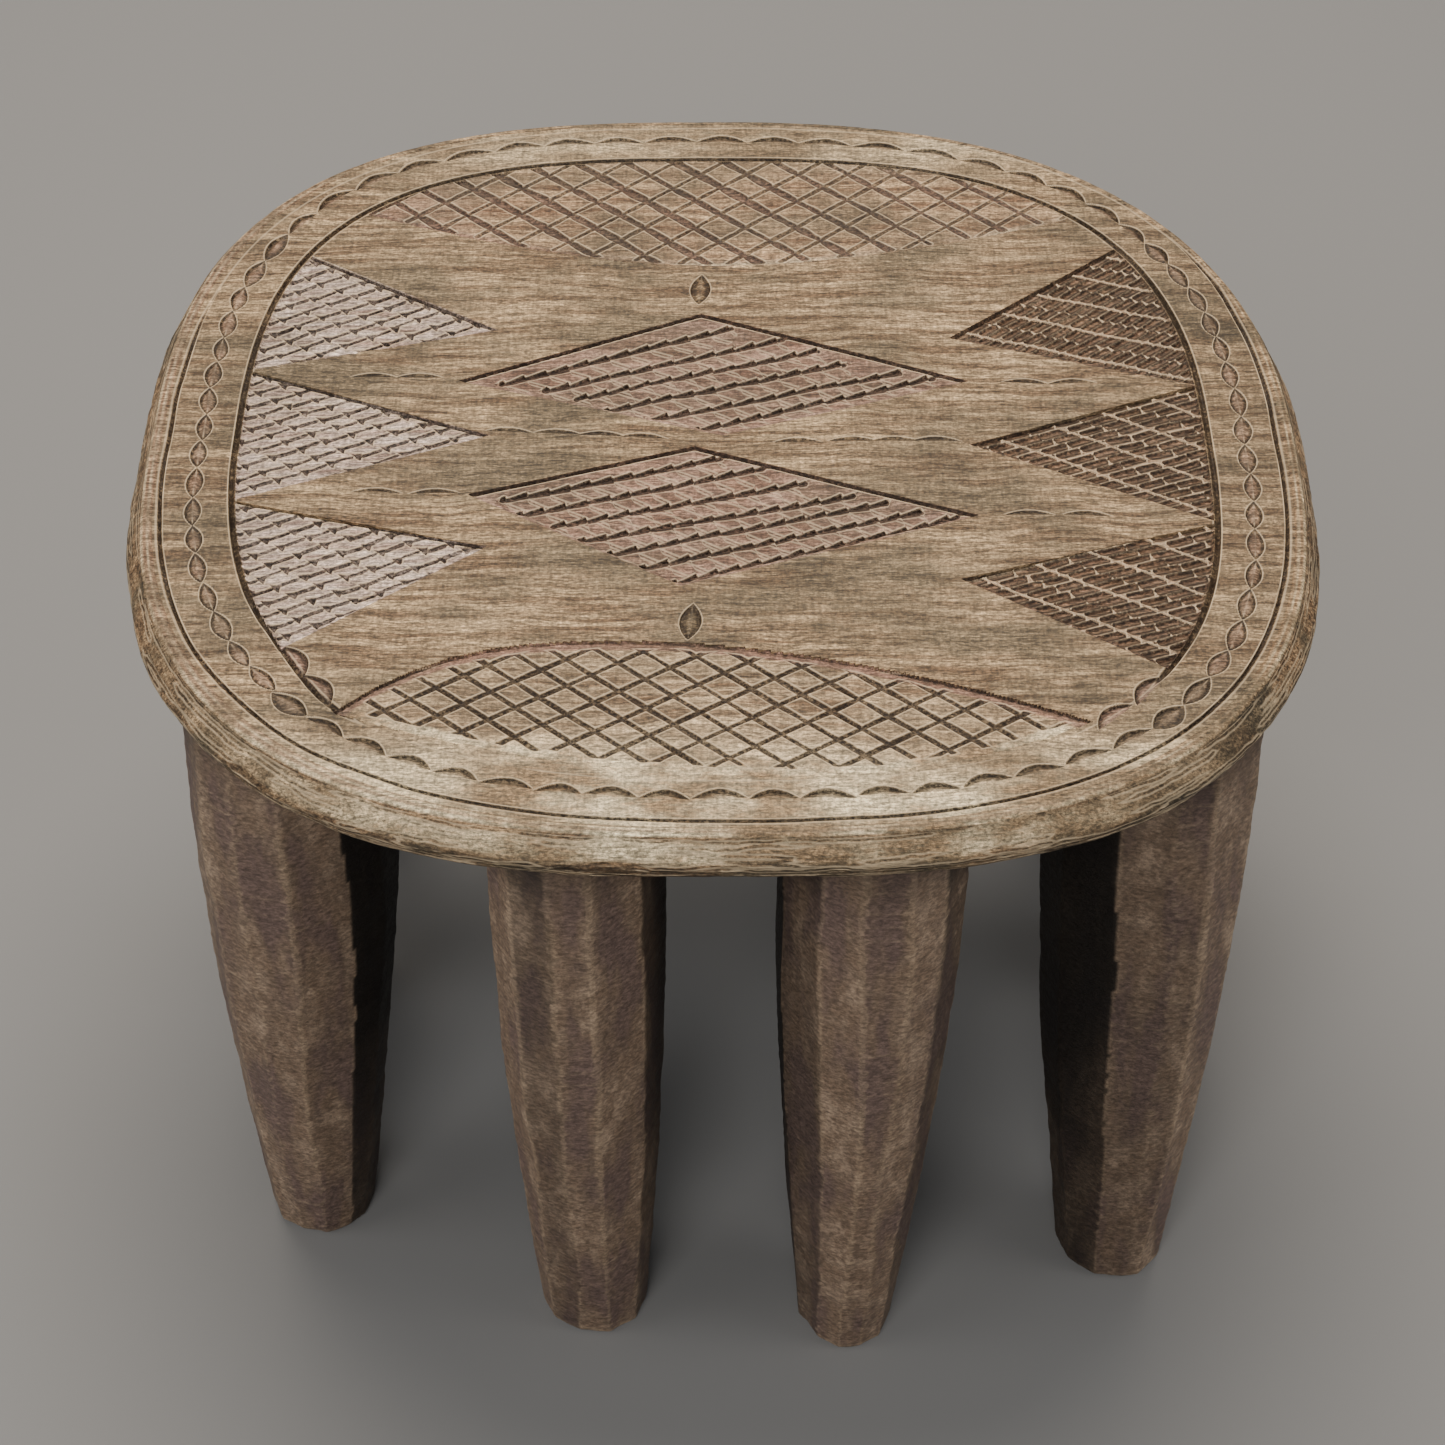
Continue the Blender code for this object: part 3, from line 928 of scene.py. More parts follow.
def grainNoises(node, place, grain):
    # one noise for each row of the grain, which says how long its cells are in mm, how far they are drawn
    # out along each axis, and their detail and roughness
    noises = {}
    for name, (cell, stretch, detail, roughness) in grain.items():
        mapped = node("mapping", place, tuple(1 / (cell * mm * share) for share in stretch))
        noises[name] = node("noise", mapped, 1.0, detail, roughness)
    return noises


bumpDepth = 0.5               # in mm, at a strength of 1


def finishWood(wood, node, look, tone, speckle, relief):
    # the colour, a sheen that differs between wood and pores, and the relief of the fibres
    shader = wood.node_tree.nodes["Principled BSDF"]
    plug(wood.node_tree, shader.inputs["Base Color"], tone)
    plug(wood.node_tree, shader.inputs["Roughness"], node("range", speckle, 0.3, 0.7, *look["roughness"]))
    plug(wood.node_tree, shader.inputs["Specular IOR Level"], look["specular"])
    plug(wood.node_tree, shader.inputs["Normal"], node("bump", relief, look["bump"], bumpDepth * mm))
    return wood


def readLook(look):
    return {name: sRgb(value) if isinstance(value, str) else value for name, value in look.items()}


seatWoodLook = {
    "pale": "#d8bb92", "mid": "#9a7d5d", "dark": "#5a4431", "patch": "#5f5745", "rubbedAndHighlight": "#ffedc4",
    "rubbedAndHighlightDark": "#9c8161", "fresh": "#b5927f", "freshDark": "#80614f", "dirtAndShade": "#1f130b", "ridge": "#e6cfac",
    "patchAmount": 0.62, "lineDark": 0.94, "edgeDark": 0.9, "roughness": (0.48, 0.74), "specular": 0.35,
    "bump": 1.0, "warpScale": 16.0, "warp": (0.0, 0.012, 0.0),
    "bentGrain": {"streaks": (4.2, (14, 1, 1), 5.0, 0.7), "fibres": (1.1, (9, 1, 1), 4.0, 0.7)},
    "grain": {
        "dashes": (0.85, (3.5, 1, 1), 3.0, 0.7),
        "scratches": (1.5, (1, 9, 1), 3.0, 0.65),
        "cloud": (30.0, (1.9, 1, 1), 5.0, 0.65),
        "speckle": (1.1, (1.4, 1, 1), 2.0, 0.7),
    },
}


def seatWood(name, **changes):
    # open-grained hardwood, knife-carved, handled and weathered: fibres and streaks run from side to side,
    # greenish grey patches of old wear lie over them, dirt and painted shade fill the cuts, the edges are rubbed
    # pale and the rim's arris carries a painted highlight
    look = readLook({**seatWoodLook, **changes})
    wood, node, place, marks = startWood(
        name, ("hollow", "broadHollow", "fresh", "knife", "gouge", "rubbedAndHighlight", "soiledAndShaded"))
    bent = node("shift", node("noiseColour", place, look["warpScale"], 2.0), look["warp"], place)
    streaks, fibres = grainNoises(node, bent, look["bentGrain"]).values()
    dashes, scratches, cloud, speckle = grainNoises(node, place, look["grain"]).values()
    # the wood itself
    tone = node("mix", node("range", streaks, 0.36, 0.66), look["dark"], look["pale"])
    tone = node("mix", 0.3, tone, look["mid"])
    freshTone = node("mix", node("range", streaks, 0.3, 0.7), look["freshDark"], look["fresh"])
    tone = node("mix", marks["fresh"], tone, freshTone)
    feathers = chained(node, "add", cloud, node("multiply", fibres, 0.34), node("multiply", dashes, 0.26))
    patches = node("multiply", node("range", feathers, 0.76, 0.93), look["patchAmount"])
    tone = node("mix", patches, tone, look["patch"])
    # rubbed pale wood, and the painted highlight on the rim's arris
    rubbedAndHighlightTone = node("mix", node("range", feathers, 0.70, 0.92), look["rubbedAndHighlight"], look["rubbedAndHighlightDark"])
    tone = node("mix", marks["rubbedAndHighlight"], tone, rubbedAndHighlightTone)
    # the fibres and specks, and a darkening share that holds weathered patches, darker areas of the seat and
    # painted shade on the rim's lower lip
    shade = chained(node, "multiply", *(node("range", *values) for values in (
        (fibres, 0.38, 0.62, 0.50, 1.32),
        (dashes, 0.38, 0.62, 0.62, 1.32),
        (scratches, 0.36, 0.64, 0.82, 1.14),
        (speckle, 0.36, 0.64, 0.66, 1.32),
        (marks["soiledAndShaded"], 0.0, 1.0, 1.0, 0.5),
    )))
    tone = node("shade", shade, tone)
    # ridges and the burrs beside cuts wear pale, and dirt with painted shade lies in the cuts and hollows;
    # knife and gouge read 3 at a cut's edge and more inside it
    tone = node("mix", node("multiply", node("range", marks["hollow"], -0.03, -0.2), 0.6), tone, look["ridge"])
    burrs = [chained(node, "multiply", node("range", inside, 2.1, 2.6), node("range", inside, 2.95, 2.75), 0.4)
             for inside in (marks["knife"], marks["gouge"])]
    tone = node("mix", node("largest", *burrs), tone, look["ridge"])
    line = node("multiply", node("range", marks["knife"], 2.9, 3.35), look["lineDark"])
    edge = chained(node, "multiply", node("range", marks["gouge"], 2.7, 3.05),
                   node("range", marks["gouge"], 4.5, 3.5), look["edgeDark"])
    soilAndShade = node("largest", node("range", marks["hollow"], 0.06, 0.4, 0.0, 0.7),
                node("range", marks["broadHollow"], 0.2, 0.9, 0.0, 0.6))
    dirtAndShadeShare = chained(node, "largest", line, edge, soilAndShade)
    dirtAndShadeShare = node("multiply", dirtAndShadeShare, node("range", speckle, 0.62, 0.36, 0.72, 1.0))
    tone = node("mix", dirtAndShadeShare, tone, look["dirtAndShade"])
    relief = chained(node, "add", node("multiply", fibres, 0.7), node("multiply", dashes, 0.5),
                     node("multiply", speckle, 0.4))
    return finishWood(wood, node, look, tone, speckle, relief)


legWoodLook = {
    "pale": "#9d8874", "mid": "#736050", "dark": "#57483e", "purple": "#66544f", "dirtAndShade": "#150d09",
    "ridge": "#b09a7f", "roughness": (0.48, 0.74), "specular": 0.4, "bump": 1.0,
    "grain": {
        "stains": (16.0, (1, 1, 4), 3.0, 0.5),
        "tears": (1.7, (1.7, 1.7, 1), 4.0, 0.65),
        "cloud": (12.0, (1, 1, 1.4), 6.0, 0.72),
        "speckle": (1.3, (1.8, 1.8, 1), 4.0, 0.75),
    },
}


def makeLegWood(name):
    # the same hardwood, hewn with an adze and darkened by smoking and handling: specks of torn fibre all over,
    # long stains down the leg, and painted shade on the inward facets and the top under the slab
    look = readLook(legWoodLook)
    wood, node, place, marks = startWood(name, ("hollow", "rubbedAndHighlight", "soiledAndShaded"))
    stains, tears, cloud, speckle = grainNoises(node, place, look["grain"]).values()
    tone = node("mix", node("range", stains, 0.35, 0.68), look["dark"], look["pale"])
    tone = node("mix", node("range", cloud, 0.38, 0.60, 0.2, 1.0), tone, look["mid"])
    tone = node("mix", node("range", stains, 0.52, 0.36, 0.0, 0.7), tone, look["purple"])
    tone = node("mix", node("multiply", node("range", marks["hollow"], -0.03, -0.12), 0.2), tone, look["ridge"])
    # the darkening share holds the random facet tones, and painted shade on the inward facets and under the slab
    shade = chained(node, "multiply", node("range", tears, 0.36, 0.64, 0.82, 1.20),
                    node("range", speckle, 0.38, 0.62, 0.72, 1.26),
                    node("range", marks["soiledAndShaded"], 0.0, 1.0, 1.28, 0.06))
    tone = node("shade", shade, tone)
    tone = node("mix", marks["rubbedAndHighlight"], tone, look["ridge"])
    # dirt and painted shade in the hollows between the chips
    tone = node("mix", node("multiply", node("range", marks["hollow"], 0.03, 0.16), 0.6), tone, look["dirtAndShade"])
    relief = node("add", node("multiply", tears, 0.6), node("multiply", speckle, 0.5))
    return finishWood(wood, node, look, tone, speckle, relief)


topWood = seatWood("weathered_carved_hardwood")
rimWood = seatWood("rubbed_and_highlighted_rim_hardwood", pale="#c7a57d", mid="#8d7052", patchAmount=0.8, bump=1.3)
lensWood = seatWood("worn_lens_hardwood", mid="#a9805d", fresh="#a5826f", lineDark=0.85, edgeDark=0.74)
crispLensWood = seatWood("crisp_lens_hardwood", pale="#ecd0a6", mid="#a98a66", fresh="#b08a78", patchAmount=0.4)
diamondWood = seatWood("purplish_chip_cut_hardwood", pale="#bb957c", mid="#8f6c5a", dark="#5c4234", fresh="#ba9a8a",
                       patchAmount=0.4)
shingleWood = seatWood("fresh_chip_cut_hardwood", fresh="#f2ddd1", freshDark="#a08375", patchAmount=0.15)
hatchWood = seatWood("hatched_hardwood", pale="#c49d78", mid="#94735a", dark="#5c4330", fresh="#b5917a",
                     patchAmount=0.25, edgeDark=0.92)
underWood = seatWood("hewn_underside_hardwood", pale="#7a5f49", mid="#5f4837", dark="#3e2c20", patchAmount=0.4)
legWood = makeLegWood("smoked_adzed_hardwood")
print("materials ready")


# The seat's top: border ring, ground and sunken fields
borderCells = {"around": 1100, "across": 54}


def makeBorder(name, firstDegrees, lastDegrees):
    mesh, around, across = cellGrid("border", borderCells["around"], borderCells["across"])
    angle = np.radians(firstDegrees + (lastDegrees - firstDegrees) * around)
    inner, outer = ringRadius("groundSeam", angle), ringRadius("rimSeam", angle)
    radius = inner + (outer - inner) * across
    x, y = np.cos(angle) * radius, np.sin(angle) * radius
    mesh.flip_normals()
    shape = carveTop(layFlat(mesh, x, y), topCarving, 1, 8)
    finishPanel(name, shape, topWood)


groundCells = {"columns": 392, "rows": 386}


def makeGround():
    shape = layFlat(*roundGrid("ground", groundCells["columns"], groundCells["rows"], "groundSeam", 0))
    for name in [*lensShapes, *cornerShapes]:
        splitAlong(shape, fieldOutline(name, 2.0))
        dropFaces(shape, fieldOutline(name, 2.0), True)
    # finer cells round the single marks
    faces = list(shape.faces)
    middles = faceMiddles(faces) / mm
    close = np.zeros(len(faces), bool)
    for kind, reachX, reachY in (("crescents", 12, 4.5), ("leaves", 6, 12.5), ("cornerScallops", 12, 12)):
        for middleX, middleY, _ in groundMarks[kind]:
            close |= (np.abs(middles[:, 0] - middleX) < reachX) & (np.abs(middles[:, 1] - middleY) < reachY)
    edges = list({edge for index in np.flatnonzero(close) for edge in faces[index].edges})
    bmesh.ops.subdivide_edges(shape, edges=edges, cuts=1, use_grid_fill=True)
    finishPanel("seat_ground", carveTop(shape, topCarving, 1, 4), topWood)


# Fields: piece, wood, size of the cells in mm and the degrees the rows of cells rise
fieldPieces = {
    "farLens": ("far_lens_carving", lensWood, 0.62, -42),
    "nearLens": ("near_lens_carving", crispLensWood, 0.52, -40.2),
    "farDiamond": ("far_diamond_carving", diamondWood, 0.5, 18),
    "nearDiamond": ("near_diamond_carving", diamondWood, 0.5, 17),
    "farLeftTriangle": ("far_left_triangle_carving", shingleWood, 0.52, 20),
    "middleLeftTriangle": ("middle_left_triangle_carving", shingleWood, 0.52, 20),
    "nearLeftTriangle": ("near_left_triangle_carving", shingleWood, 0.52, 20),
    "farRightTriangle": ("far_right_triangle_carving", hatchWood, 0.5, 39.6),
    "middleRightTriangle": ("middle_right_triangle_carving", hatchWood, 0.5, 21.5),
    "nearRightTriangle": ("near_right_triangle_carving", hatchWood, 0.5, 19.5),
}


def makeField(name):
    # a fine grid turned to lie along the cuts, trimmed to the field's outline and carved
    piece, material, cell, turn = fieldPieces[name]
    outline = fieldOutline(name)
    lean = math.radians(turn)
    alongAxis, acrossAxis = np.array((math.cos(lean), math.sin(lean))), np.array((-math.sin(lean), math.cos(lean)))
    low = np.array((outline @ alongAxis, outline @ acrossAxis)).min(1) - 0.5
    high = np.array((outline @ alongAxis, outline @ acrossAxis)).max(1) + 0.5
    columns, rows = (int(count) for count in np.ceil((high - low) / cell))
    mesh, across, along = cellGrid(name, columns, rows)
    u, v = low[0] + across * (high[0] - low[0]), low[1] + along * (high[1] - low[1])
    shape = layFlat(mesh, *(u[:, None] * alongAxis + v[:, None] * acrossAxis).T)
    splitAlong(shape, outline)
    dropFaces(shape, outline, False)
    shape = carveTop(shape, lambda x, y: fieldCarving(name, x, y), 2, 10)
    finishPanel(piece, shape, material)


# The rim: inset from the widest line and depth below the top, from the seam over the worn edge, the bulge and
# the lower lip to the hewn chamfer under the slab
rim = {
    "profile": ((11.5, 0.35), (9.6, 0.1), (8.0, 0.2), (7.2, 0.6), (6.5, 1.6), (4.6, 4.2), (2.6, 7.0), (1.0, 9.8),
                (0.0, 12.2), (0.5, 14.2), (2.0, 15.3), (1.5, 16.5), (2.4, 18.3), (4.8, 20.3), (9.0, 22.0),
                (15.0, 23.4), (22.0, 24.0), (30.0, 24.0)),
    "around": 1060,
    "across": 86,
    "widest": 12.2,       # depth of the widest line
    "cracks": (2.7, 4.9, 7.2, 9.2, 10.8, 12.6, 15.0, 18.0),
}


def smoothPath(points, count):
    # an even walk along a smooth curve through the points
    points = np.array(points, float)
    padded = np.concatenate(([2 * points[0] - points[1]], points, [2 * points[-1] - points[-2]]))
    walk = []
    for index in range(1, len(padded) - 2):
        before, start, end, after = padded[index - 1:index + 3]
        t = np.linspace(0, 1, 24, endpoint=False)[:, None]
        walk.append(0.5 * (2 * start + (end - before) * t + (2 * before - 5 * start + 4 * end - after) * t ** 2
                           + (3 * start - before - 3 * end + after) * t ** 3))
    walk = np.concatenate([*walk, points[-1:]])
    travel = np.concatenate(([0], np.cumsum(np.hypot(*np.diff(walk, axis=0).T))))
    even = np.linspace(0, travel[-1], count)
    return np.stack([np.interp(even, travel, walk[:, axis]) for axis in range(2)], -1)


def markRim(mesh, carving, angle, inset, depth, run, skirt):
    # the state of the wood and painted light: a painted highlight along the arris, a grey weathered band, a tan
    # bulge and painted shade on the lower lip
    degrees = np.degrees(angle) % 360
    near = smoothBand(degrees, 205, 250, 290, 330)
    left = smoothBand(degrees, 120, 150, 225, 250)
    right = clamped(1 - near - left - smoothBand(degrees, 40, 70, 110, 140))
    drift = softNoise(run, skirt, 22, 89) * 1.2
    # painted highlights: a near-white line along the arris and a fainter line along the bead, brightest on the near
    # side
    line = clamped(1 - np.abs(inset - 7.3 + drift * 0.15) / 0.8) * (depth < 4)
    line = np.maximum(line, 0.8 * clamped(1 - np.abs(inset - 9.8 + drift * 0.2) / 0.6) * (depth < 2))
    band = smoothBand(depth + drift, 1.5, 3.5, 8.5, 11.0)
    # painted shade on the lower lip, which faces down under the bulge
    lip = smoothStep(depth + drift * 0.8, 9.5, 12.5)
    rubbedAndHighlight = line * (0.6 + 0.4 * near) + band * near * 0.7 + (depth < 1.5) * near * 0.35
    patchy = smoothStep(softNoise(run, skirt * 2, 26, 90) + 0.5 * softNoise(run, skirt * 5, 9, 92), -0.5, 0.4)
    weathered = (depth > 1.5) * (left * 0.85 + right * 0.9) * patchy
    soiledAndShaded = np.maximum(lip * 0.95, weathered)
    # flaking cracks that follow the rim
    cracks = np.full_like(run, -cutReach)
    for number, level in enumerate(rim["cracks"]):
        lane = np.full_like(run, number * 40.0)
        here = softNoise(run, lane, 26, 91) + (0.5 if number == 0 else 0)
        away = np.abs(depth - level - 0.9 * softNoise(run, lane, 15, 93) - 0.3 * softNoise(run, lane, 4, 94))
        cracks = np.maximum(cracks, 0.26 - away * 0.9 - clamped(0.2 - here) * 4)
    carving["knife"] = np.where(depth < 2.0, carving["knife"], cracks)
    markCarving(mesh, {**carving, "fresh": carving["fresh"] * (depth < 2.2) + (depth < 1.5) * (left + near) * 0.3})
    addShares(mesh, "rubbedAndHighlight", clamped(rubbedAndHighlight))
    addShares(mesh, "soiledAndShaded", clamped(soiledAndShaded))
    markHollows(mesh, 1, 6)


def makeRim(name, firstDegrees, lastDegrees):
    mesh, around, across = cellGrid("rim", rim["around"], rim["across"])
    angle = np.radians(firstDegrees + (lastDegrees - firstDegrees) * around)
    profile = smoothPath(rim["profile"], rim["across"] + 1)
    rows = np.rint(across * rim["across"]).astype(int)
    inset, depth = profile[rows, 0], profile[rows, 1]
    outline, arris, seam = (ringRadius(name, angle) for name in ("outline", "arris", "rimSeam"))
    # above the bulge the insets follow the arris and the seam, which aren't the same distance in all round
    topShare = clamped((inset - 7.2) / 4.3)
    upper = np.where(inset > 7.2, arris + (seam - arris) * topShare, outline + (arris - outline) * inset / 7.2)
    isUpper = rows <= np.argmax(profile[:, 1] >= rim["widest"])
    radius = np.where(isUpper, upper, outline - inset)
    run = np.interp(angle % (2 * math.pi), rings["outline"]["angles"], rings["outline"]["run"])
    skirt = rows * 0.7
    hewn = 0.50 * softNoise(run, skirt, 38, 81) + 0.28 * softNoise(run, skirt, 13, 82)
    flakes = 0.26 * softNoise(run, skirt * 5, 10, 83) + 0.16 * softNoise(run, skirt * 4, 4.5, 84)
    flakes = flakes + 0.08 * softNoise(run, skirt * 3, 1.8, 86)
    side = smoothStep(depth, 0.8, 4.5) * (1 - smoothStep(inset, 24, 30) * (depth > 20))
    split = clamped(softNoise(run, skirt * 7, 13, 85) - 0.35) * 1.5 * smoothStep(depth, 5, 12)
    radius = radius - side * (0.55 + hewn + flakes * smoothStep(depth, 2, 10) + split)
    x, y = np.cos(angle) * radius, np.sin(angle) * radius
    carving = topCarving(x, y)
    flat = smoothStep(depth, 2.2, 0.3)
    bead = 0.25 * clamped(1 - ((inset - 9.4) / 2.2) ** 2)
    top = seatSwell(x, y) - carving["depth"]
    chipped = 0.30 * softNoise(run, skirt, 9, 87) + 0.18 * softNoise(run, skirt * 2, 3.5, 88)
    height = flat * (top + profile[0, 1] + bead) - depth + (1 - flat) * hewn * 0.3 * (depth > 14)
    height = height - clamped(chipped) * clamped(1 - np.abs(inset - 7.4) / 1.6) * (depth < 3)
    height = np.maximum(height, seatPlan["underside"] - seatPlan["top"])
    setMeshPoints(mesh, planPoints(x, y, np.minimum(height, -0.01)))
    mesh.flip_normals()
    markRim(mesh, carving, angle, inset, depth, run, skirt)
    shape = shapeFromMesh(mesh)
    # a strip between the first and the last row, then a cap at either end
    isLong = (rows == 0) | (rows == rim["across"])
    longEdges = [edge for edge in shape.edges
                 if edge.is_boundary and isLong[edge.verts[0].index] and isLong[edge.verts[1].index]]
    bmesh.ops.bridge_loops(shape, edges=longEdges)
    bmesh.ops.holes_fill(shape, edges=[edge for edge in shape.edges if edge.is_boundary], sides=0)
    finishPiece(name, shape, rimWood)


underside = {"cells": 180, "inset": 26.0, "thickness": 7.0}


def makeUnderside():
    # the hewn face under the slab, between the legs: broad overlapping adze scoops
    mesh, x, y = roundGrid("underside", underside["cells"], underside["cells"], "outline", underside["inset"])
    scoopX, scoopY = x / 31 + 0.25 * softNoise(x, y, 40, 91), y / 19 + 0.35 * softNoise(x, y, 30, 92)
    scoop = ((scoopX - np.floor(scoopX) - 0.5) ** 2 + (scoopY - np.floor(scoopY) - 0.5) ** 2) * 2.6
    depth = 0.9 - scoop + 0.35 * softNoise(x, y, 12, 93) + 0.12 * softNoise(x, y, 4, 94)
    inward = smoothStep(-ringDistance("outline", x, y) - underside["inset"], 0, 8)
    level = seatPlan["underside"] - seatPlan["top"] + 0.15 + np.clip(depth, 0, 3) * inward
    setMeshPoints(mesh, planPoints(x, y, level))
    mesh.flip_normals()
    markHollows(mesh, 1, 4)
    shape = shapeFromMesh(mesh)
    closeBelow(shape, (seatPlan["underside"] + underside["thickness"]) * mm)
    finishPiece("hewn_underside", shape, underWood)


# The legs: width across and along the line out of the seat's middle at the top and at the foot, then the number
# of facets and the seed of their places and adze marks
legShapes = {
    "leg_front_outer_left": {"top": (90.7, 75.4), "foot": (45.3, 48.1), "facets": 12, "seed": 101},
    "leg_front_inner_left": {"top": (93.2, 72.5), "foot": (44.9, 48.6), "facets": 12, "seed": 102},
    "leg_front_inner_right": {"top": (89.7, 75.6), "foot": (48.0, 41.0), "facets": 11, "seed": 103},
    "leg_front_outer_right": {"top": (94.0, 76.0), "foot": (49.6, 43.9), "facets": 12, "seed": 104},
    "leg_side_left": {"top": (91.0, 74.0), "foot": (47.0, 45.0), "facets": 12, "seed": 105},
    "leg_side_right": {"top": (92.0, 75.0), "foot": (46.5, 46.0), "facets": 11, "seed": 106},
    "leg_back_outer_left": {"top": (90.0, 75.0), "foot": (47.5, 44.5), "facets": 12, "seed": 107},
    "leg_back_inner_left": {"top": (92.5, 73.0), "foot": (46.0, 47.0), "facets": 12, "seed": 108},
    "leg_back_inner_right": {"top": (91.0, 75.0), "foot": (48.0, 43.0), "facets": 11, "seed": 109},
    "leg_back_outer_right": {"top": (93.0, 74.5), "foot": (47.0, 45.5), "facets": 12, "seed": 110},
}
legCells = {"around": 136, "up": 180, "sole": 7}
legHewing = {"swell": 1.1, "chipLength": 30.0, "chipDepth": 0.5, "overlap": 9.0, "edge": 0.3, "sole": 4.2}


def legAxis(name):
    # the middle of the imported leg's top and of its sole, in mm
    points = meshPoints(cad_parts[name].data) / mm
    top = points[points[:, 2] > points[:, 2].max() - 0.1].mean(0)
    foot = points[points[:, 2] < points[:, 2].min() + 0.1].mean(0)
    return top, foot


def hewnFacets(shape, luck, seed, angle, z, radial, tangential):
    # each facet's direction, how far out its plane lies at each point, and which of its chips is there
    count = shape["facets"]
    facetPlaces = (np.arange(count) + luck.uniform(-0.26, 0.26, count)) * 2 * math.pi / count + luck.uniform(0, 0.5)
    reaches, chips = [], []
    for number, facet in enumerate(facetPlaces):
        level = np.full_like(z, number * 37.0)
        drift = facet + 0.09 * softNoise(z, level, 110, seed)
        support = np.hypot(radial * np.cos(drift), tangential * np.sin(drift))
        cutIn = 0.972 + 0.014 * luck.uniform(-1, 1) + 0.018 * softNoise(z, level, 70, seed + 1)
        turn = np.clip(np.abs((angle - drift + math.pi) % (2 * math.pi) - math.pi), 0, 1.25)
        # adze chips down the facet, each a shallow scoop of its own length and depth
        chip = z / (legHewing["chipLength"] * luck.uniform(0.7, 1.4)) + luck.uniform(0, 1)
        chip = chip + 0.45 * softNoise(z, level, 36, seed + 2)
        chips.append(np.floor(chip).astype(int) + number * 7)
        force = np.clip(0.5 + softNoise(np.floor(chip) * 10, level, 10, seed + 7), 0, 1.4)
        scoop = 1 - (2 * (chip - np.floor(chip)) - 1) ** 2
        # and the short dents of the finishing strokes
        dent = z / luck.uniform(7.5, 11) + 0.6 * softNoise(z, level, 24, seed + 10)
        dents = 1 - (2 * (dent - np.floor(dent)) - 1) ** 2
        dents = dents * clamped(softNoise(z, level, 30, seed + 11) + 0.6)
        reaches.append((support * cutIn - legHewing["chipDepth"] * force * scoop - 0.3 * dents) / np.cos(turn))
    return facetPlaces, np.array(reaches), np.array(chips)


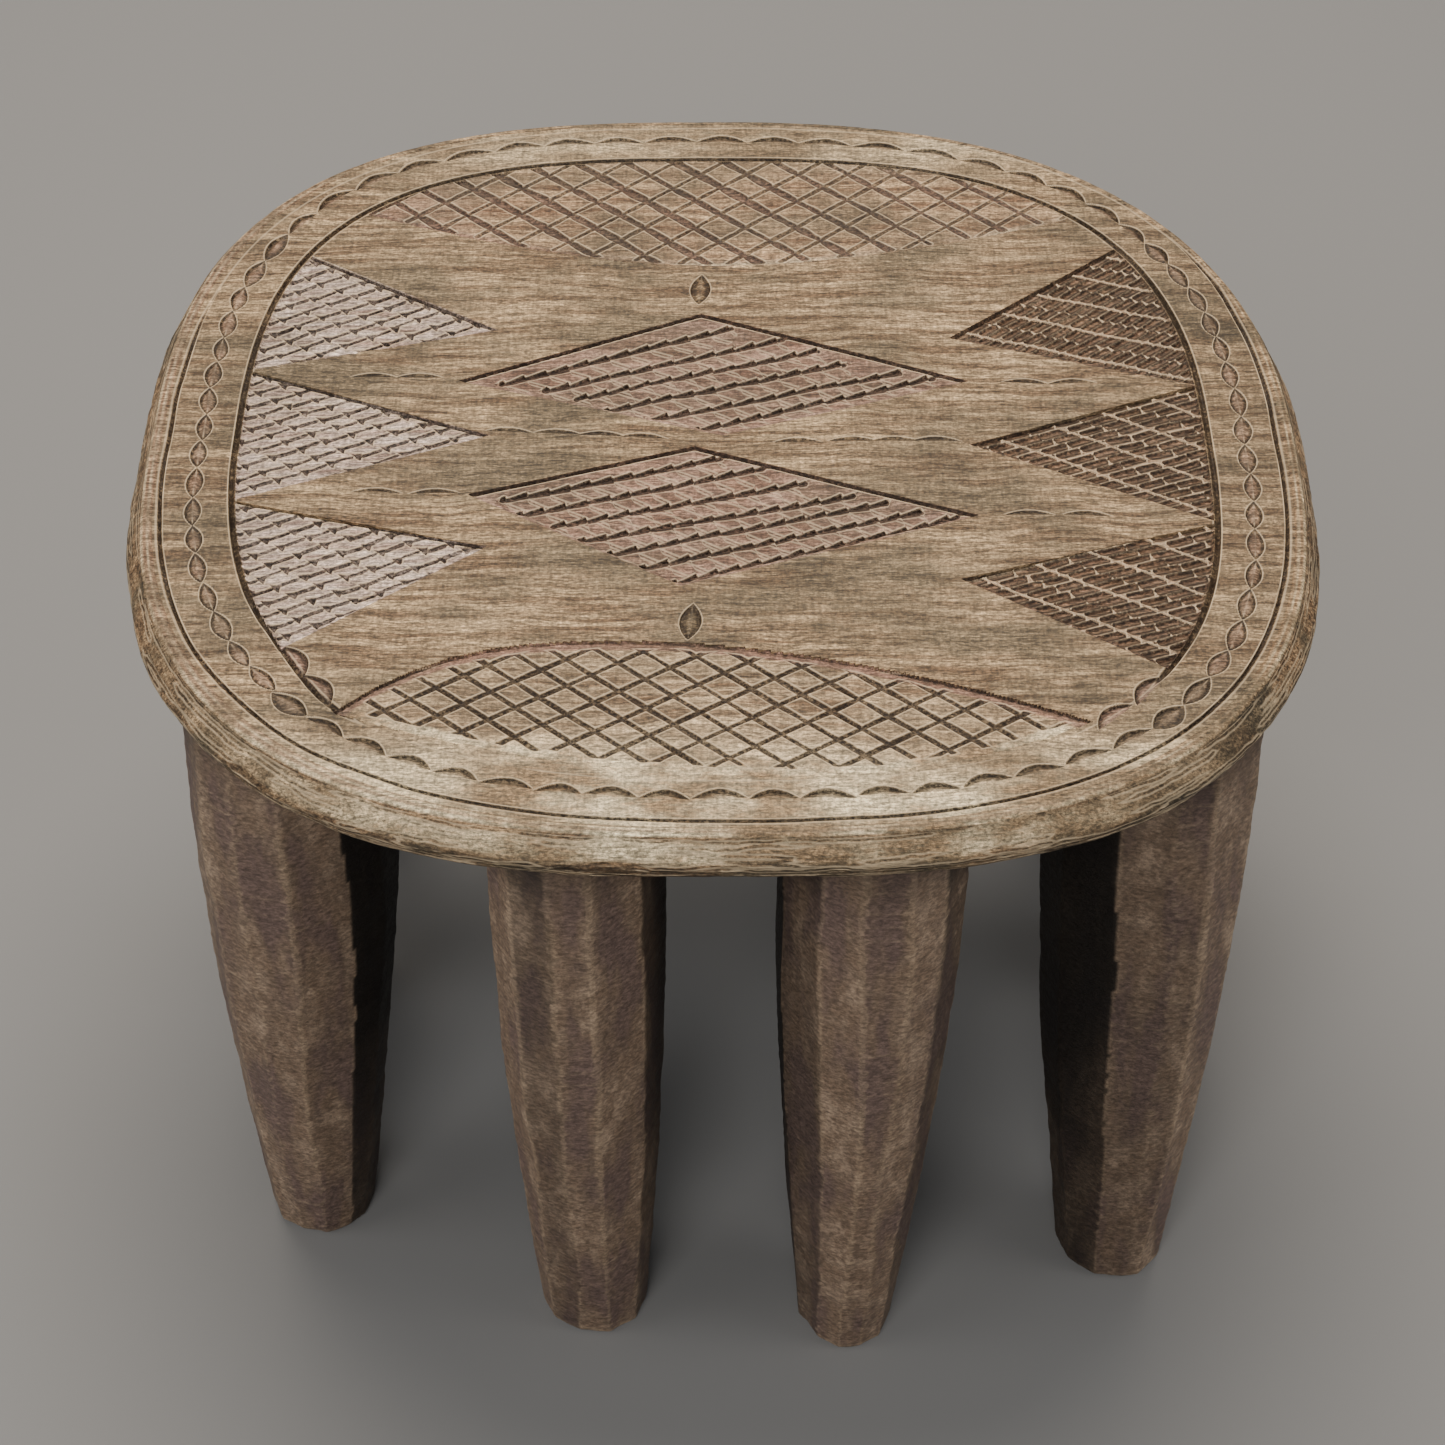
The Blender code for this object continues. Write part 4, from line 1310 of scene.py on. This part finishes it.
def makeLeg(name, shape):
    top, foot = legAxis(name)
    outward = math.atan2(top[1], top[0])
    length = top[2]
    mesh, around, up = cellGrid(name, legCells["around"], legCells["up"])
    angle = around * 2 * math.pi
    # the first rows draw the sole out from its middle to its edge
    row = np.rint(up * legCells["up"]).astype(int)
    soleShare = clamped(row / legCells["sole"])
    rise = clamped((row - legCells["sole"]) / (legCells["up"] - legCells["sole"]))
    z = rise * (length + legHewing["overlap"])
    share = clamped(z / length)
    swell = np.sin(share * legHewing["swell"] * math.pi / 2)
    radial = (shape["foot"][0] + (shape["top"][0] - shape["foot"][0]) * swell) / 2
    tangential = (shape["foot"][1] + (shape["top"][1] - shape["foot"][1]) * swell) / 2
    luck = np.random.default_rng(shape["seed"])
    seed = shape["seed"] * 10
    facetPlaces, reaches, chips = hewnFacets(shape, luck, seed, angle, z, radial, tangential)
    soft = legHewing["edge"] * 0.5
    least = reaches.min(0)
    reach = least - soft * np.log(np.exp(-(reaches - least) / soft).sum(0))
    roundX, roundY = np.cos(angle) * 40, np.sin(angle) * 40
    rough = 0.22 * softNoise(roundX + z * 0.15, roundY + z * 0.6, 11, seed + 3)
    torn = 0.11 * softNoise(roundX, z * 1.4 + roundY * 0.3, 4, seed + 4)
    reach = reach + rough + torn + 0.06 * softNoise(roundY * 1.3, z * 2.2 + roundX, 2.4, seed + 5)
    # the sole: a small rounded and knocked edge
    edgeRound = legHewing["sole"] * (1 + 0.5 * softNoise(roundX, roundY, 14, seed + 6))
    lowered = clamped(1 - z / edgeRound)
    reach = reach - edgeRound * (1 - np.sqrt(clamped(1 - lowered ** 2))) * 0.8
    reach = np.where(row < legCells["sole"], reach * (0.04 + 0.96 * soleShare), reach)
    x, y = np.cos(angle) * reach, np.sin(angle) * reach
    centre = foot[None, :2] + (top - foot)[None, :2] * np.clip(z / length, 0, 1.02)[:, None]
    cosine, sine = math.cos(outward), math.sin(outward)
    points = np.stack((centre[:, 0] + x * cosine - y * sine, centre[:, 1] + x * sine + y * cosine, z), -1)
    setMeshPoints(mesh, points * mm)
    # each facet and chip has a random tone; painted shade darkens the inward facets, more towards the top, and the
    # top under the slab
    facetHere = reaches.argmin(0)
    inward = 0.3 * smoothStep(-np.cos(angle), -0.35, 0.3)
    inward = inward + 0.7 * smoothStep(-np.cos(facetPlaces[facetHere]), -0.35, 0.3)
    facetTones, chipTones = luck.uniform(0, 0.42, shape["facets"]), luck.uniform(0, 0.09, rowLuck)
    tones = facetTones[facetHere] + chipTones[chips[facetHere, np.arange(len(z))] % rowLuck]
    paintedShade = inward * (0.3 + 0.6 * smoothStep(z, 40, 260)) + smoothStep(z, 285, 322) * 0.35
    addShares(mesh, "soiledAndShaded", clamped(tones + paintedShade))
    knocks = clamped(softNoise(roundX, roundY, 6, seed + 8) * 1.6)
    addShares(mesh, "rubbedAndHighlight", 0.45 * clamped(1 - np.abs(z - 1.5) / 2.5) * knocks)
    leg = shapeFromMesh(mesh)
    boundary = [vert for vert in leg.verts if vert.is_boundary]
    bmesh.ops.remove_doubles(leg, verts=boundary, dist=2e-6)
    bmesh.ops.holes_fill(leg, edges=[edge for edge in leg.edges if edge.is_boundary], sides=0)
    bmesh.ops.recalc_face_normals(leg, faces=leg.faces[:])
    mesh = meshFromShape(name, leg)
    markHollows(mesh, 1, 3)
    finishPiece("hewn_" + name, shapeFromMesh(mesh), legWood, name, 30)


makeRim("rounded_rim_left", 90, 270)
makeRim("rounded_rim_right", -90, 90)
makeBorder("border_with_gouged_chain_left", 90, 270)
makeBorder("border_with_gouged_chain_right", -90, 90)
makeGround()
for fieldName in fieldPieces:
    makeField(fieldName)
makeUnderside()
for legName, legShape in legShapes.items():
    makeLeg(legName, legShape)
print("stool ready")


# Studio
studio = {
    "floor": "#8b8b8b",
    "world": "#e4e7ea",
    "worldStrength": 0.17,
    "lens": 84.17,
    "cameraPlace": (0.0, -1.1131, 1.2906),
    "cameraPitch": 45.0,
    "lights": {               # place, aim, size in metres, power in watts and colour
        "roof_window": ((-0.1, 0.95, 2.7), (0, 0, 0.3), 2.1, 87, "#fff4e6"),
        "front_fill": ((-0.5, -2.3, 2.3), (0, 0, 0.15), 1.6, 38, "#fbf8f4"),
        "left_fill": ((-2.4, -0.7, 1.2), (0, 0, 0.15), 1.6, 13, "#fbf8f4"),
        "right_fill": ((2.4, -0.7, 1.2), (0, 0, 0.15), 1.6, 13, "#fbf8f4"),
    },
}


def makeFloor():
    floor = bmesh.new()
    bmesh.ops.create_grid(floor, x_segments=1, y_segments=1, size=6)
    mesh = meshFromShape("floor", floor)
    paint = bpy.data.materials.new("matt_floor_paint")
    paint.use_nodes = True
    shader = paint.node_tree.nodes["Principled BSDF"]
    shader.inputs["Base Color"].default_value = sRgb(studio["floor"])
    shader.inputs["Roughness"].default_value = 0.75
    mesh.materials.append(paint)
    plane = bpy.data.objects.new("floor", mesh)
    bpy.context.scene.collection.objects.link(plane)


def makeLights():
    for name, (place, aim, size, power, colour) in studio["lights"].items():
        lamp = bpy.data.lights.new(name, "AREA")
        lamp.shape = "DISK"
        lamp.size = size
        lamp.energy = power
        lamp.color = sRgb(colour)[:3]
        light = bpy.data.objects.new(name, lamp)
        light.location = place
        light.rotation_euler = (Vector(aim) - Vector(place)).to_track_quat("-Z", "Y").to_euler()
        bpy.context.scene.collection.objects.link(light)
    world = bpy.data.worlds.new("studio")
    world.use_nodes = True
    background = world.node_tree.nodes["Background"]
    background.inputs["Color"].default_value = sRgb(studio["world"])
    background.inputs["Strength"].default_value = studio["worldStrength"]
    bpy.context.scene.world = world


def makeCamera():
    lens = bpy.data.cameras.new("camera")
    lens.sensor_fit = "HORIZONTAL"
    lens.sensor_width = 36
    lens.lens = studio["lens"]
    camera = bpy.data.objects.new("camera", lens)
    camera.location = studio["cameraPlace"]
    camera.rotation_euler = (math.radians(studio["cameraPitch"]), 0, 0)
    bpy.context.scene.collection.objects.link(camera)
    bpy.context.scene.camera = camera


makeFloor()
makeLights()
makeCamera()
print("studio ready")
